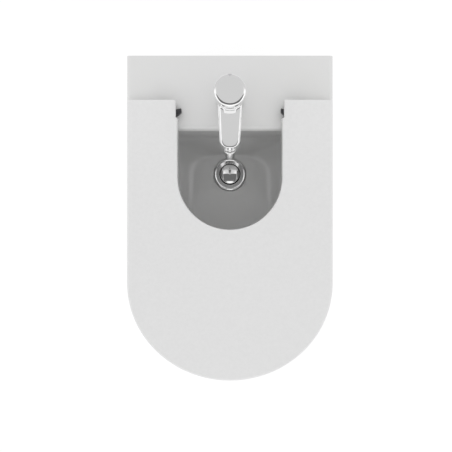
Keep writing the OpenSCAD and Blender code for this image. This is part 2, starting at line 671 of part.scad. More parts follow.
// The handle's screw enters the cap's rear shoulder and points down at the stem
screw_dip = 30;
screw_reach = cap_r - cap_round + cap_round * cos(screw_dip) - stem_w / 2;
screw_run = screw_reach / cos(screw_dip);
screw_z = cap_top - cap_round + cap_round * sin(screw_dip) - screw_reach * tan(screw_dip);
screw_r = 2.5;
plug_t = 4;
index_r = 3;
module screw_frame() {
  translate([0, tap_y + stem_w / 2, screw_z]) rotate([screw_dip - 90, 0, 0]) children();
}
rim_slope = 12;
lever_gap = 3;
module handle() color("gainsboro") difference() {
  low = tap_top + lever_gap;
  shoulder = arc(cap_r - cap_round, cap_top - cap_round, cap_round, 0, 90, 5);
  union() {
    difference() {
      at_tap(tap_y) rotate_extrude($fn = 96)
        polygon(concat([[0, low], [cap_r, low]], shoulder, [[0, cap_top]]));
      translate([0, tap_y - cap_r, low]) rotate([rim_slope, 0, 0]) block([-50, -50, -50], [50, 80, 0]);
    }
    translate([0, 0, low]) linear_extrude(lever_t) difference() {
      tongue_plan(lever_w / 2, lever_flare, lever_len, 10);
      translate([0, tap_y]) circle(cap_r - 6);
    }
  }
  translate([0, tap_y, pivot_up]) sphere(dome_r + dome_gap, $fn = 96);
  socket = stem_w / 2 + fit;
  at_tap(tap_y) block([-socket, -socket, tap_top], [socket, socket, stem_top + seat_gap]);
  screw_frame() translate([0, 0, -2]) cylinder(h = screw_run + 8, r = screw_r + fit);
  screw_frame() translate([0, 0, screw_run - plug_t]) cylinder(h = 3 * plug_t, r = index_r + fit);
}
grub_low = screw_r * tan(screw_dip) + fit;
module handle_grub_screw() color("dimgray") screw_frame() difference() {
  translate([0, 0, grub_low]) cylinder(h = 12, r = screw_r);
  translate([0, 0, grub_low + 9]) cylinder(h = 4, r = 1.4, $fn = 6);
}
module index_plug() color("dimgray") screw_frame()
  translate([0, 0, screw_run - plug_t]) cylinder(h = plug_t + 0.2, r = index_r);

// Under the deck: stud, washers, nut, water inlets
tap_stud_len = 50;
module tap_stud() color("silver") translate([0, stud_y, under_z - tap_stud_len])
  cylinder(h = tap_z + inlet_depth - 1 - under_z + tap_stud_len, r = stud_r);
horseshoe_r = 23;
horseshoe_in = 17;
module horseshoe(z, t) {
  translate([0, 0, z]) linear_extrude(t) difference() {
    union() {
      difference() {
        translate([0, hole_y]) circle(horseshoe_r);
        translate([0, hole_y + 5]) circle(horseshoe_in);
        translate([-horseshoe_in, hole_y + 5]) square([2 * horseshoe_in, 40]);
      }
      translate([0, stud_y]) circle(stud_r + 4.5);
    }
    translate([0, stud_y]) circle(stud_r + fit);
  }
}
horseshoe_t = 3;
stud_nut_t = 8;
module tap_rubber_washer() color("dimgray") horseshoe(under_z - horseshoe_t, horseshoe_t);
module tap_horseshoe_washer() color("silver") horseshoe(under_z - 2 * horseshoe_t, horseshoe_t);
module tap_stud_nut() color("tan")
  translate([0, stud_y, under_z - 2 * horseshoe_t - stud_nut_t]) difference() {
  cylinder(h = stud_nut_t, r = stud_r + 3.5, $fn = 6);
  translate([0, 0, -eps]) cylinder(h = stud_nut_t + 2 * eps, r = stud_r + fit);
}
inlet_end = 12;
module water_inlets() color("tan") pair() translate([inlet_x, inlet_y, 0]) {
  ring(under_z - inlet_len + inlet_end, tap_z + 10, inlet_r - 1.5, inlet_r);
  ring(under_z - inlet_len, under_z - inlet_len + inlet_end, inlet_r - 1.5, inlet_r + 0.3);
}

// Pop-up linkage
pivot_y = drain_y + pivot_arm;
half_swing = asin(plug_lift / 2 / pivot_arm);
// Where the leaning lift rod's line meets the pivot rod, with the plug open
rod_slope = tan(rod_lean);
swing_slope = tan(half_swing);
floor_reach = rod_y - body_h * rod_slope - pivot_y;
meet_z = (pivot_z - swing_slope * floor_reach) / (1 + swing_slope * rod_slope);
meet_y = rod_y - (body_h - meet_z) * rod_slope;
meet_s = -(body_h - meet_z) / cos(rod_lean);
rod_low = meet_s + 56;
knob_s = guide_top + seat_gap;
knob_r = 4.6;
knob_h = 12;
module lift_rod() color("gainsboro") rod_frame()
  translate([0, 0, rod_low]) cylinder(h = knob_s + knob_h - 2 - rod_low, r = rod_r);
module lift_knob() color("gainsboro") rod_frame() difference() {
  union() {
    translate([0, 0, knob_s]) cylinder(h = knob_h, r1 = knob_r - 1, r2 = knob_r);
    translate([0, 0, knob_s + knob_h]) cylinder(h = 2, r1 = knob_r, r2 = knob_r - 1.6);
  }
  translate([0, 0, knob_s - eps]) cylinder(h = knob_h - 1 + eps, r = rod_r + fit);
}
strap_hole_r = rod_r + 0.9;
strap_pitch = 11;
module linkage_strap() color("silver") rod_frame() difference() {
  union() {
    block([-5.5, -0.8, meet_s - 8], [5.5, 0.8, rod_low + 6]);
    block([-6, -5.5, rod_low - 4], [6, 5.5, rod_low + 8]);
  }
  translate([0, 0, rod_low - 0.3]) cylinder(h = 40, r = rod_r + fit);
  for (i = [0:3]) translate([0, 5, meet_s + strap_pitch * i]) rotate([90, 0, 0])
    cylinder(h = 10, r = i == 0 ? strap_hole_r : 2);
  translate([0, 0, rod_low + 3]) rotate([0, 90, 0]) cylinder(h = 40, r = 1.5 + fit);
}
module strap_thumbscrew() color("gainsboro") rod_frame() translate([0, 0, rod_low + 3]) rotate([0, 90, 0]) {
  translate([0, 0, rod_r + fit]) cylinder(h = 8, r = 1.5);
  translate([0, 0, 8]) cylinder(h = 5, r = 4);
}
module pivot_frame() {
  translate([0, pivot_y, pivot_z]) rotate([-half_swing, 0, 0]) children();
}
module pivot_rod() color("silver") pivot_frame() {
  bar_y(-pivot_arm - 6, meet_y - pivot_y + 12, 0, rod_r);
  sphere(pivot_ball_r);
}
port_end = pivot_y + 9;
port_r = 9;
module pivot_nut() color("gainsboro") difference() {
  bar_y(port_end - 6, port_end + 3, pivot_z, port_r + 3);
  bar_y(port_end - 6 - eps, port_end, pivot_z, port_r + fit);
  bar_y(port_end - eps, port_end + 3 + eps, pivot_z, rod_r + 2.2);
}

// Waste
seal_t = 1;
flange_t = 2.5;
tee_r = 24.5;
tee_up = 26;
tee_down = 32;
tube_up = 14;
tee_top = pivot_z + tee_up;
tee_low = pivot_z - tee_down;
tube_low = pivot_z + tube_up;
// Depth of the tailpiece in the tee
tee_socket = 16;
flange_z = flange_seat + seal_t;
dish_r = 27.6;
ledge_z = flange_z - 6;
plug_z = ledge_z + seat_gap + plug_lift;
plug_seal_t = 2;
plug_stem_r = 4;
plug_edge_t = 4;
// The plug is drawn open; its stem ends in an eye around the pivot rod
module waste_plug() color("gainsboro") translate([0, drain_y, plug_z]) difference() {
  edge_z = plug_seal_t + plug_edge_t;
  eye_z = pivot_z + plug_lift / 2 - plug_z;
  union() {
    translate([0, 0, plug_seal_t]) cylinder(h = plug_edge_t, r = plug_r);
    translate([0, 0, edge_z]) cylinder(h = 1.4, r1 = plug_r, r2 = plug_r - 2);
    translate([0, 0, edge_z + 1.4]) cylinder(h = 0.8, r1 = plug_r - 2, r2 = plug_r - 6);
    translate([0, 0, eye_z + 4]) cylinder(h = plug_seal_t - eye_z - 4 + eps, r = plug_stem_r);
    block([-6, -4, eye_z - 6], [6, 4, eye_z + 7]);
  }
  bar_y(-20, 20, eye_z, strap_hole_r);
}
module at_waste() {
  translate([0, drain_y, 0]) children();
}
module plug_seal() color("dimgray") at_waste()
  ring(plug_z, plug_z + plug_seal_t, plug_stem_r + fit, plug_r - 0.2);
waste_gasket_t = 5;
module waste_flange() color("gainsboro") at_waste() rotate_extrude($fn = 96) polygon([
  [flange_r, flange_z], [flange_r - 0.3, flange_z + 1.4], [flange_r - 1.4, flange_z + flange_t],
  [dish_r + 1, flange_z + flange_t], [dish_r, flange_z + flange_t - 0.4], [plug_r + 1.6, flange_z + 0.6],
  [plug_r + 0.5, flange_z - 1], [plug_r + 0.5, ledge_z], [plug_r - 1.8, ledge_z],
  [plug_r - 1.8, tube_low], [tube_r, tube_low], [tube_r, flange_z]]);
module flange_seal() color("dimgray") at_waste() ring(flange_seat, flange_z, tube_r + fit, flange_r - 1);
module waste_gasket() color("dimgray") at_waste()
  ring(boss_low - waste_gasket_t, boss_low, tube_r + fit, boss_out - 3);
module waste_lock_nut() color("gainsboro") at_waste() difference() {
  translate([0, 0, tee_top]) cylinder(h = boss_low - waste_gasket_t - tee_top, r = tube_r + 9, $fn = 8);
  translate([0, 0, tee_top - eps]) cylinder(h = 60, r = tube_r + fit);
}
module waste_tee() color("gainsboro") difference() {
  union() {
    translate([0, drain_y, tee_low]) cylinder(h = tee_top - tee_low, r = tee_r);
    bar_y(drain_y + 15, port_end, pivot_z, port_r);
  }
  translate([0, drain_y, tube_low - seat_gap]) cylinder(h = 60, r = tube_r + fit);
  translate([0, drain_y, tee_low + tee_socket]) cylinder(h = 60, r = pipe_r + 1);
  translate([0, drain_y, tee_low - eps]) cylinder(h = 60, r = pipe_r + fit);
  bar_y(drain_y, port_end + eps, pivot_z, pivot_ball_r + 0.2);
}

// Bottle trap and outlet
trap_z = outlet_z - pipe_r - 3;
trap_high = outlet_z + pipe_r + 3;
neck_h = 10;
neck_high = trap_high + neck_h;
trap_t = 3;
cup_z = 14;
module tailpiece() color("gainsboro") at_waste()
  ring(cup_z + 20, tee_low + tee_socket - 1, pipe_r - pipe_t, pipe_r);
stub_r = pipe_r + 2.5;
stub_end = drain_y + trap_r + 20;
module trap_body() color("gainsboro") difference() {
  union() {
    translate([0, drain_y, trap_z]) cylinder(h = trap_high - trap_z, r = trap_r);
    translate([0, drain_y, trap_z]) cylinder(h = neck_high - trap_z, r = pipe_r + 4);
    bar_y(drain_y + 20, stub_end, outlet_z, stub_r);
  }
  translate([0, drain_y, trap_z - eps]) cylinder(h = trap_high - trap_z - trap_t + eps, r = trap_r - trap_t);
  translate([0, drain_y, trap_z]) cylinder(h = 80, r = pipe_r + fit);
  bar_y(drain_y, stub_end + eps, outlet_z, pipe_r - 2);
  bar_y(stub_end - 14, stub_end + eps, outlet_z, pipe_r + fit);
}
module trap_cup() color("gainsboro") at_waste() difference() {
  union() {
    translate([0, 0, cup_z]) cylinder(h = trap_z - cup_z, r = trap_r);
    translate([0, 0, trap_z - eps]) cylinder(h = 5 + eps, r = trap_r - trap_t - fit);
  }
  translate([0, 0, cup_z + trap_t]) cylinder(h = 90, r = trap_r - trap_t - 2.5);
}
module trap_inlet_nut() color("gainsboro") at_waste() difference() {
  translate([0, 0, neck_high - 8]) cylinder(h = 12, r = pipe_r + 8, $fn = 8);
  translate([0, 0, neck_high - 8 - eps]) cylinder(h = 8 + eps, r = pipe_r + 4 + fit);
  translate([0, 0, neck_high - eps]) cylinder(h = 12, r = pipe_r + fit);
}
module trap_outlet_nut() color("gainsboro") difference() {
  translate([0, stub_end + 4, outlet_z]) rotate([90, 0, 0]) cylinder(h = 12, r = pipe_r + 7, $fn = 8);
  bar_y(stub_end - 8 - eps, stub_end, outlet_z, stub_r + fit);
  bar_y(stub_end - eps, stub_end + 5, outlet_z, pipe_r + fit);
}
module trap_outlet_pipe() color("gainsboro") difference() {
  bar_y(stub_end - 13.7, rear_y, outlet_z, pipe_r);
  bar_y(stub_end - 20, rear_y + eps, outlet_z, pipe_r - pipe_t);
}
rosette_t = 7;
rosette_w = 18;
module wall_rosette() color("gainsboro") translate([0, rear_y, outlet_z]) rotate([90, 0, 0]) difference() {
  cylinder(h = rosette_t, r1 = pipe_r + rosette_w, r2 = pipe_r + rosette_w - 8);
  translate([0, 0, -eps]) cylinder(h = rosette_t + 2 * eps, r = pipe_r + fit);
}

// Floor fixing
side_screw_r = 2.5;
side_head_r = 5;
side_head_t = 3;
bracket_t = 4;
bracket_in = 46;
bracket_w = 40;
plate_x = foot_r - wall - 0.1;
fix_y = rear_y - fix_back;
module floor_brackets() color("silver") pair() difference() {
  front = fix_y - bracket_w / 2;
  back = fix_y + bracket_w / 2;
  union() {
    block([plate_x - bracket_in, front, seat_gap], [plate_x, back, bracket_t]);
    block([plate_x - bracket_t, front, seat_gap], [plate_x, back, foot_h - 4]);
  }
  bar_x(plate_x - bracket_t - eps, plate_x + eps, fix_y, fix_z, side_screw_r + fit);
  translate([plate_x - bracket_in + 18, fix_y, -eps]) cylinder(h = bracket_t + 2 * eps, r = bracket_hole_r);
}
module side_screws() color("silver") pair() {
  bar_x(plate_x - bracket_t - 6, foot_r - side_head_t, fix_y, fix_z, side_screw_r);
  bar_x(foot_r - side_head_t - 0.5, foot_r - 0.5, fix_y, fix_z, side_head_r);
}
module side_caps() color("white") pair() bar_x(foot_r, foot_r + 2, fix_y, fix_z, side_head_r + 3);

ceramic_body();
overflow_ring();
cover();
cover_buffers();
hinge_arm_left();
hinge_arm_right();
hinge_arm_screws();
hinge_pins();
hinge_base_left();
hinge_base_right();
hinge_studs();
hinge_rubber_washers();
hinge_wing_nuts();
tap_gasket();
tap_base_ring();
tap_body();
nozzle_collar();
nozzle_seat();
nozzle();
nozzle_aerator();
cartridge_housing();
cartridge_nut();
cartridge_turret();
stem_pin();
cartridge_stem();
dome_ring();
handle();
handle_grub_screw();
index_plug();
tap_stud();
tap_rubber_washer();
tap_horseshoe_washer();
tap_stud_nut();
water_inlets();
lift_rod();
lift_knob();
linkage_strap();
strap_thumbscrew();
pivot_rod();
pivot_nut();
waste_plug();
plug_seal();
waste_flange();
flange_seal();
waste_gasket();
waste_lock_nut();
waste_tee();
tailpiece();
trap_body();
trap_cup();
trap_inlet_nut();
trap_outlet_nut();
trap_outlet_pipe();
wall_rosette();
floor_brackets();
side_screws();
side_caps();
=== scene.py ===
"""Looks of a floor-standing bidet: glazed china body, cut-out cover, chromed tap and pop-up waste."""

import json
import math

import bmesh
import bpy
from mathutils import Matrix, Vector


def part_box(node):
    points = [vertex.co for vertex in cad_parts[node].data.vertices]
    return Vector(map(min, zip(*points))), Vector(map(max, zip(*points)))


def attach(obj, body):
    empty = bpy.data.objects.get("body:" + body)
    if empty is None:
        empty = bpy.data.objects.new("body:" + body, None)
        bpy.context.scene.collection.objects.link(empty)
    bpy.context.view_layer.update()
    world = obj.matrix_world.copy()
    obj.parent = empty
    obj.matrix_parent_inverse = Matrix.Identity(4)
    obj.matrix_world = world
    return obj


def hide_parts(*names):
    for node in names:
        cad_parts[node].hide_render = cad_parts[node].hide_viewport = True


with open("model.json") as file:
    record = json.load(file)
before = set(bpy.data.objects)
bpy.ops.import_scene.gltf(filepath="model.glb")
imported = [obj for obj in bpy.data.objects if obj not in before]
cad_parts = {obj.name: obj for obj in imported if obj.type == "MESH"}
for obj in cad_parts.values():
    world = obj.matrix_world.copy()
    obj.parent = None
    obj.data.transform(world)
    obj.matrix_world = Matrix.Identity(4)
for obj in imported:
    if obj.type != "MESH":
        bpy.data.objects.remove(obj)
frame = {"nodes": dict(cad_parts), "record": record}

bl_info = {
    "name": "Floor-standing Bidet",
    "version": (1, 0, 0),
    "blender": (4, 5, 0),
    "location": "3D View > Sidebar > Bidet",
    "description": "Dresses the frame of a floor-standing bidet in glazed china, plastic and chromed brass",
    "category": "Object",
}


# Sizes of the frame, in millimetres


def corners(node):
    """A node's lowest and highest corners, in millimetres."""
    return [corner * 1000 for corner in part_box(node)]


BODY_LOW, BODY_HIGH = corners("ceramic_body")
COVER_LOW, COVER_HIGH = corners("cover")
CAP_LOW, CAP_HIGH = corners("handle")
TAP_LOW, TAP_HIGH = corners("tap_body")
FLANGE_LOW, FLANGE_HIGH = corners("waste_flange")
PLUG_HIGH = corners("waste_plug")[1]
# Ceramic body: rim, rounded front, foot, walls and tap deck
RIM_R = BODY_HIGH.x
RIM_Z = BODY_HIGH.z
REAR_Y = BODY_HIGH.y
NOSE_LEN = 175.0
NOSE = NOSE_LEN / RIM_R
ARC_Y = BODY_LOW.y + NOSE_LEN
FOOT_R = 122.0
FOOT_Z = 60.0
FLARE_Z = 330.0
RIM_ROUND = 6.0
WALL = 11.0
UNDER_Z = RIM_Z - 14
# Holes for the screws in the foot's sides
SIDE_HOLE_Y = REAR_Y - 125
SIDE_HOLE_Z = 34.0
SIDE_HOLE_R = 3.1
SIDE_HEAD_R = 5.5
# Bowl: half width and how much it narrows, rear wall, lip, corners, floor and its soft turns
BOWL_R = RIM_R - 38
BOWL_DRAFT = 5.0
BOWL_Y = REAR_Y - 127
BACK_UPRIGHT = 64.0
BACK_LEAN = 24.0
BOWL_LIP = 9.0
BOWL_CORNER = 45.0
BOWL_DEPTH = 176.0
BOWL_Z = RIM_Z - BOWL_DEPTH
BOWL_TURN = BOWL_Z + 86
BOWL_FLAT = 47.0
FLOOR_RISE = 22.0
FLOOR_TURN = 37.5
FLOOR_BLEND = 12.0
SIDE_BLEND = 3.0
# Where the bowl's rear wall stands, forwards of its rim, at depths below the rim
BACK_LINE = ((0, BACK_UPRIGHT), (-4, 115), (-13, 150), (-20, 168), (-BACK_LEAN, BOWL_DEPTH))
# Overflow: hole in the rear wall, passage behind it
OVERFLOW_Z = RIM_Z - 48
OVERFLOW_R = 11.0
PASSAGE_HALF = 14.0
PASSAGE_DEEP = 12.0
PASSAGE_WALL = 9.0
# Waste: hole, seat of the flange, boss under the bowl, tube of the flange
WASTE_Y = REAR_Y - 189
WASTE_R = 22.5
SEAT_R = 32.3
BOSS_R = 36.5
BOSS_Z = BOWL_Z - 40
TUBE_OUT = 20.9
TUBE_IN = 16.5
# Tap: axis, hole in the deck, top of the body, turning point of the handle, swivel ball of the nozzle
TAP_Y = REAR_Y - 79
HOLE_Y = TAP_Y + 6
HOLE_R = 17.5
TAP_TOP = TAP_HIGH.z
PIVOT_Z = TAP_TOP - 10
NOZZLE_Y = TAP_Y - 78
NOZZLE_Z = TAP_TOP - 16
# Column, spout, lever and cap
COLUMN_R = 23.0
SPOUT_LEN = 85.0
SPOUT_HALF = 16.8
LEVER_LEN = 85.5
LEVER_HALF = 15.8
TIP_CORNER = 13.0
CAP_R = 25.5
DOME_R = 24.6
# Room between pieces, and half widths of those that fit in the castings
FIT = 0.05
CARTRIDGE_R = 17.5
COLLAR_R = 10.6
STEM_HALF = 4.0
SCREW_R = 2.5
SCREW_MOUTH_R = 3.0
# Stud and water inlets under the tap, and the lift rod behind it with its lean in radians
TAP_STUD_Y = HOLE_Y - 12.5
INLET_X = 11.5
INLET_Y = HOLE_Y + 1.5
INLET_R = 4.5
ROD_Y = HOLE_Y + 14
ROD_R = 2.5
ROD_LEAN = math.radians(11.2)
# Threaded studs of the tap and the hinges
THREAD_R = 4.0
THREAD_PITCH = 1.25
# Cover: half width, front, wall, cut-out, hinges and the front of their relief
COVER_R = COVER_HIGH.x
COVER_Y = COVER_HIGH.y
COVER_NOSE = 162.0
COVER_NOSE_RATIO = COVER_NOSE / COVER_R
COVER_ARC_Y = COVER_LOW.y + COVER_NOSE
COVER_WALL = 4.5
COVER_ROUND = 3.0
CUT_R = 87.0
CUT_Y = COVER_Y - 129
HINGE_X = CUT_R + 21
HINGE_Y = COVER_Y - 10
RELIEF_Y = HINGE_Y - 20
STUD_X = HINGE_X - 11
STUD_Y = TAP_Y - 16
STUD_HOLE_R = 6.5


# Real material behind each of the frame's slots
FINISHES = {
    "vitreous_china": "Glazed vitreous china",
    "cover_plastic": "Pressed urea resin",
    "chrome": "Chromium plate",
    "hinge_metal": "Dark-plated zinc casting",
    "steel": "Zinc-plated steel",
    "brass": "Turned brass",
    "black_rubber": "Moulded EPDM rubber",
    "grey_rubber": "Silicone rubber",
    "white_plastic": "Polypropylene",
    "grey_plastic": "Acetal",
}
# The studio as mirrors see it: soft edges of its areas, as parts of a direction to the side, rear or up
FADES = {
    "front": ("Y", 0.1, -0.02),
    "beside": ("side", 0.15, 0.4),
    "forward": ("Y", 0.3, 0.15),
    "foot": ("Z", 0.14, 0.06),
    "dark_sides": ("side", 0.42, 0.38),
    "dark_rear": ("Y", 0.1, 0.08),
    "dark_front": ("Y", -0.34, -0.3),
}
# Its brightness above and behind, at the white walls, at their foot and in the dark patch overhead
ROOM = 0.725
AREAS = {"white": 1.2, "low": 0.2, "dark": 0.16}
# Light on matt surfaces, even from all sides, and the floor's own glow, which whitens the backdrop
SOFT_LIGHT = 0.85
FLOOR_GLOW = 1.15
FLOOR_SHARE = 0.7
FLOOR_HALF = 6.0
FLOOR_Z = -0.0005
FLOOR_GREY = (0.9, 0.9, 0.9, 1.0)
WHITE = (1.0, 1.0, 1.0, 1.0)
# The photograph's width and how far its centre lies from the lens's axis, in its pixels
PHOTO_WIDTH = 452
PHOTO_SHIFT = (-3.9, 1.2)
# The camera's place along Y, in metres, and the width of its sensor, in millimetres
CAMERA_Y = -0.016
SENSOR = 36


# Colours and nodes


def linear(code):
    """A hex colour as linear red, green, blue and alpha."""
    parts = [int(code[i : i + 2], 16) / 255 for i in (1, 3, 5)]
    return [c / 12.92 if c <= 0.04045 else ((c + 0.055) / 1.055) ** 2.4 for c in parts] + [1.0]


def add(tree, kind, settings=(), **links):
    """Adds a node: settings are its properties or its inputs by name, and links join inputs to outputs."""
    made = tree.nodes.new(kind)
    for name, value in dict(settings).items():
        if hasattr(made, name):
            setattr(made, name, value)
        else:
            made.inputs[name].default_value = value
    for name, source in links.items():
        tree.links.new(source, made.inputs[int(name[1:]) if name[1:].isdigit() else name.replace("_", " ")])
    return made


def material(slot, colour, metallic, roughness, patterns, ior=1.5):
    """The finish of a slot, built up from patterns.

    A pattern is its size in millimetres, its stretch along X, Y and Z, how far it moves the roughness, the
    height of its relief in micrometres and the tint of its dark parts, or None.
    """
    made = bpy.data.materials.new(FINISHES[slot])
    made.use_nodes = True
    tree = made.node_tree
    tree.nodes.clear()
    place = add(tree, "ShaderNodeTexCoord").outputs["Object"]
    shader = add(tree, "ShaderNodeBsdfPrincipled", {"Metallic": metallic, "IOR": ior})
    shader.inputs["Base Color"].default_value = linear(colour)
    shader.inputs["Roughness"].default_value = roughness
    paint = gloss = relief = None
    for size, stretch, spread, height, tint in patterns:
        spot = add(tree, "ShaderNodeMapping", {"Scale": [1000 / size / s for s in stretch]}, Vector=place)
        cloud = add(tree, "ShaderNodeTexNoise", {"Scale": 1.0, "Detail": 3.0}, Vector=spot.outputs[0])
        span = {"From Min": 0.3, "From Max": 0.7}
        depth = add(tree, "ShaderNodeMapRange", span, Value=cloud.outputs["Fac"]).outputs["Result"]
        if spread:
            step = add(tree, "ShaderNodeMath", {"operation": "MULTIPLY_ADD"}, i0=depth)
            step.inputs[1].default_value = 2 * spread
            step.inputs[2].default_value = roughness - spread
            if gloss:
                tree.links.new(gloss, step.inputs[2])
            gloss = step.outputs[0]
        if height:
            bump = add(tree, "ShaderNodeBump", {"Strength": 1.0, "Distance": height / 1e6}, Height=depth)
            if relief:
                tree.links.new(relief, bump.inputs["Normal"])
            relief = bump.outputs["Normal"]
        if tint:
            mix = add(tree, "ShaderNodeMix", {"data_type": "RGBA"}, i0=depth)
            mix.inputs[6].default_value = linear(tint)
            mix.inputs[7].default_value = linear(colour)
            if paint:
                tree.links.new(paint, mix.inputs[7])
            paint = mix.outputs[2]
    for source, socket in ((paint, "Base Color"), (gloss, "Roughness"), (relief, "Normal")):
        if source:
            tree.links.new(source, shader.inputs[socket])
    add(tree, "ShaderNodeOutputMaterial", Surface=shader.outputs["BSDF"])


# Meshes, built in millimetres and kept in metres


def body_of(node):
    """The body that carries a node."""
    return next(b for b, nodes in frame["record"]["behaviour"]["bodies"].items() if node in nodes)


def slot_of(node):
    """The slot that a node's finish has in the frame."""
    return next(s["material_slot"] for s in frame["record"]["subparts"] if s["node"] == node)


def keep(bm, node, sharp=35, weld=0.003):
    """Makes a piece that stands for a node: welded, shaded, finished and riding on the node's body."""
    bmesh.ops.remove_doubles(bm, verts=bm.verts[:], dist=weld)
    bmesh.ops.dissolve_degenerate(bm, edges=bm.edges[:], dist=weld)
    bmesh.ops.recalc_face_normals(bm, faces=bm.faces[:])
    bmesh.ops.scale(bm, vec=(0.001, 0.001, 0.001), verts=bm.verts[:])
    mesh = bpy.data.meshes.new("finished_" + node)
    bm.to_mesh(mesh)
    bm.free()
    mesh.shade_smooth()
    mesh.set_sharp_from_angle(angle=math.radians(sharp))
    piece = bpy.data.objects.new(mesh.name, mesh)
    bpy.context.scene.collection.objects.link(piece)
    mesh.materials.append(bpy.data.materials[FINISHES[slot_of(node)]])
    piece.modifiers.new("even shading", "WEIGHTED_NORMAL").keep_sharp = True
    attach(piece, body_of(node))
    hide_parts(node)


def solid_copy(node):
    """The CAD node's mesh in millimetres, its triangles merged and its flat faces joined."""
    bm = bmesh.new()
    bm.from_mesh(frame["nodes"][node].data)
    bmesh.ops.scale(bm, vec=(1000, 1000, 1000), verts=bm.verts[:])
    bmesh.ops.remove_doubles(bm, verts=bm.verts[:], dist=0.002)
    flat = math.radians(0.5)
    bmesh.ops.dissolve_limit(
        bm, angle_limit=flat, use_dissolve_boundaries=False, verts=bm.verts[:], edges=bm.edges[:]
    )
    return bm


def soften(bm, width, segments=2, limit=28, chosen=lambda edge: True):
    """Rounds the edges that turn by more than limit degrees."""
    turn = math.radians(limit)
    edges = [e for e in bm.edges if len(e.link_faces) == 2 and e.calc_face_angle(0) > turn and chosen(e)]
    bmesh.ops.bevel(
        bm,
        geom=edges,
        offset=width,
        offset_type="OFFSET",
        segments=segments,
        profile=0.5,
        affect="EDGES",
        clamp_overlap=True,
        material=-1,
    )
    return bm


def dressed(*nodes, edge=0.35):
    """Copies of CAD nodes with their sharp edges rounded, in place of the nodes."""
    for node in nodes:
        keep(soften(solid_copy(node), edge), node)


def arc(cx, cy, r, start, end, steps):
    """Points of an arc, its angles in degrees."""
    turns = [math.radians(start + (end - start) * i / steps) for i in range(steps + 1)]
    return [(cx + r * math.cos(a), cy + r * math.sin(a)) for a in turns]


def sheet(bm, rows):
    """A grid laid through rows of points."""
    grid = bmesh.ops.create_grid(bm, x_segments=len(rows[0]) - 1, y_segments=len(rows) - 1, size=1)
    for vert, point in zip(grid["verts"], [p for row in rows for p in row]):
        vert.co = point


def level(points, z):
    """Points in X and Y, at a height."""
    return [(x, y, z) for x, y in points]


def turned(profile, place, steps=96):
    """A closed profile of radii and heights, spun round its axis and placed."""
    bm = bmesh.new()
    verts = [bm.verts.new((r, 0, z)) for r, z in profile]
    for one, next_one in zip(verts, verts[1:] + verts[:1]):
        if one.co.x or next_one.co.x:
            bm.edges.new((one, next_one))
    bmesh.ops.spin(
        bm,
        geom=bm.verts[:] + bm.edges[:],
        axis=(0, 0, 1),
        cent=(0, 0, 0),
        steps=steps,
        angle=math.tau,
        use_merge=True,
    )
    bmesh.ops.remove_doubles(bm, verts=bm.verts[:], dist=0.002)
    bmesh.ops.recalc_face_normals(bm, faces=bm.faces[:])
    bmesh.ops.transform(bm, matrix=place, verts=bm.verts[:])
    return bm


def together(*parts):
    """Several solids in one mesh."""
    bm = bmesh.new()
    for part in parts:
        mesh = bpy.data.meshes.new("work")
        part.to_mesh(mesh)
        part.free()
        bm.from_mesh(mesh)
        bpy.data.meshes.remove(mesh)
    return bm


def slab(outline, lift):
    """A flat outline of points in space, made a face and pushed along lift."""
    bm = bmesh.new()
    face = bm.faces.new([bm.verts.new(p) for p in outline])
    pushed = bmesh.ops.extrude_face_region(bm, geom=[face])
    verts = [v for v in pushed["geom"] if isinstance(v, bmesh.types.BMVert)]
    bmesh.ops.translate(bm, vec=lift, verts=verts)
    bmesh.ops.recalc_face_normals(bm, faces=bm.faces[:])
    return bm


def across(outline, half):
    """An outline in Y and Z, as thick as twice half across X."""
    return slab([(-half, y, z) for y, z in outline], (2 * half, 0, 0))


def block(half, near, far, low, high):
    """A block across X, between two places in Y and two heights."""
    return across([(near, low), (far, low), (far, high), (near, high)], half)


def bar(start, end, r, steps=48):
    """A round bar from one point to another."""
    way = Vector(end) - Vector(start)
    place = Matrix.Translation(start) @ way.to_track_quat("Z", "Y").to_matrix().to_4x4()
    return turned([(0, 0), (r, 0), (r, way.length), (0, way.length)], place, steps)


def applied(bm, kind, **settings):
    """The mesh after one modifier."""
    mesh = bpy.data.meshes.new("work")
    bm.to_mesh(mesh)
    bm.free()
    work = bpy.data.objects.new("work", mesh)
    bpy.context.scene.collection.objects.link(work)
    change = work.modifiers.new("change", kind)
    for name, value in settings.items():
        setattr(change, name, value)
    shape = work.evaluated_get(bpy.context.evaluated_depsgraph_get())
    done = bmesh.new()
    done.from_mesh(shape.to_mesh())
    shape.to_mesh_clear()
    bpy.data.objects.remove(work)
    bpy.data.meshes.remove(mesh)
    return done


def joined(bm, other, operation):
    """Two solids united, or the second cut from the first."""
    bmesh.ops.remove_doubles(other, verts=other.verts[:], dist=0.002)
    bmesh.ops.recalc_face_normals(other, faces=other.faces[:])
    mesh = bpy.data.meshes.new("cutter")
    other.to_mesh(mesh)
    other.free()
    cutter = bpy.data.objects.new("cutter", mesh)
    bpy.context.scene.collection.objects.link(cutter)
    done = applied(bm, "BOOLEAN", object=cutter, operation=operation, solver="EXACT", use_self=False)
    bpy.data.objects.remove(cutter)
    bpy.data.meshes.remove(mesh)
    return done


def cast(bm, grain, passes):
    """Overlapping solids run into one casting, its inner corners filled and its edges rounded."""
    bmesh.ops.recalc_face_normals(bm, faces=bm.faces[:])
    done = applied(bm, "REMESH", mode="VOXEL", voxel_size=grain, adaptivity=0.0)
    for _ in range(passes):
        bmesh.ops.smooth_vert(
            done, verts=done.verts[:], factor=0.5, use_axis_x=True, use_axis_y=True, use_axis_z=True
        )
    return done


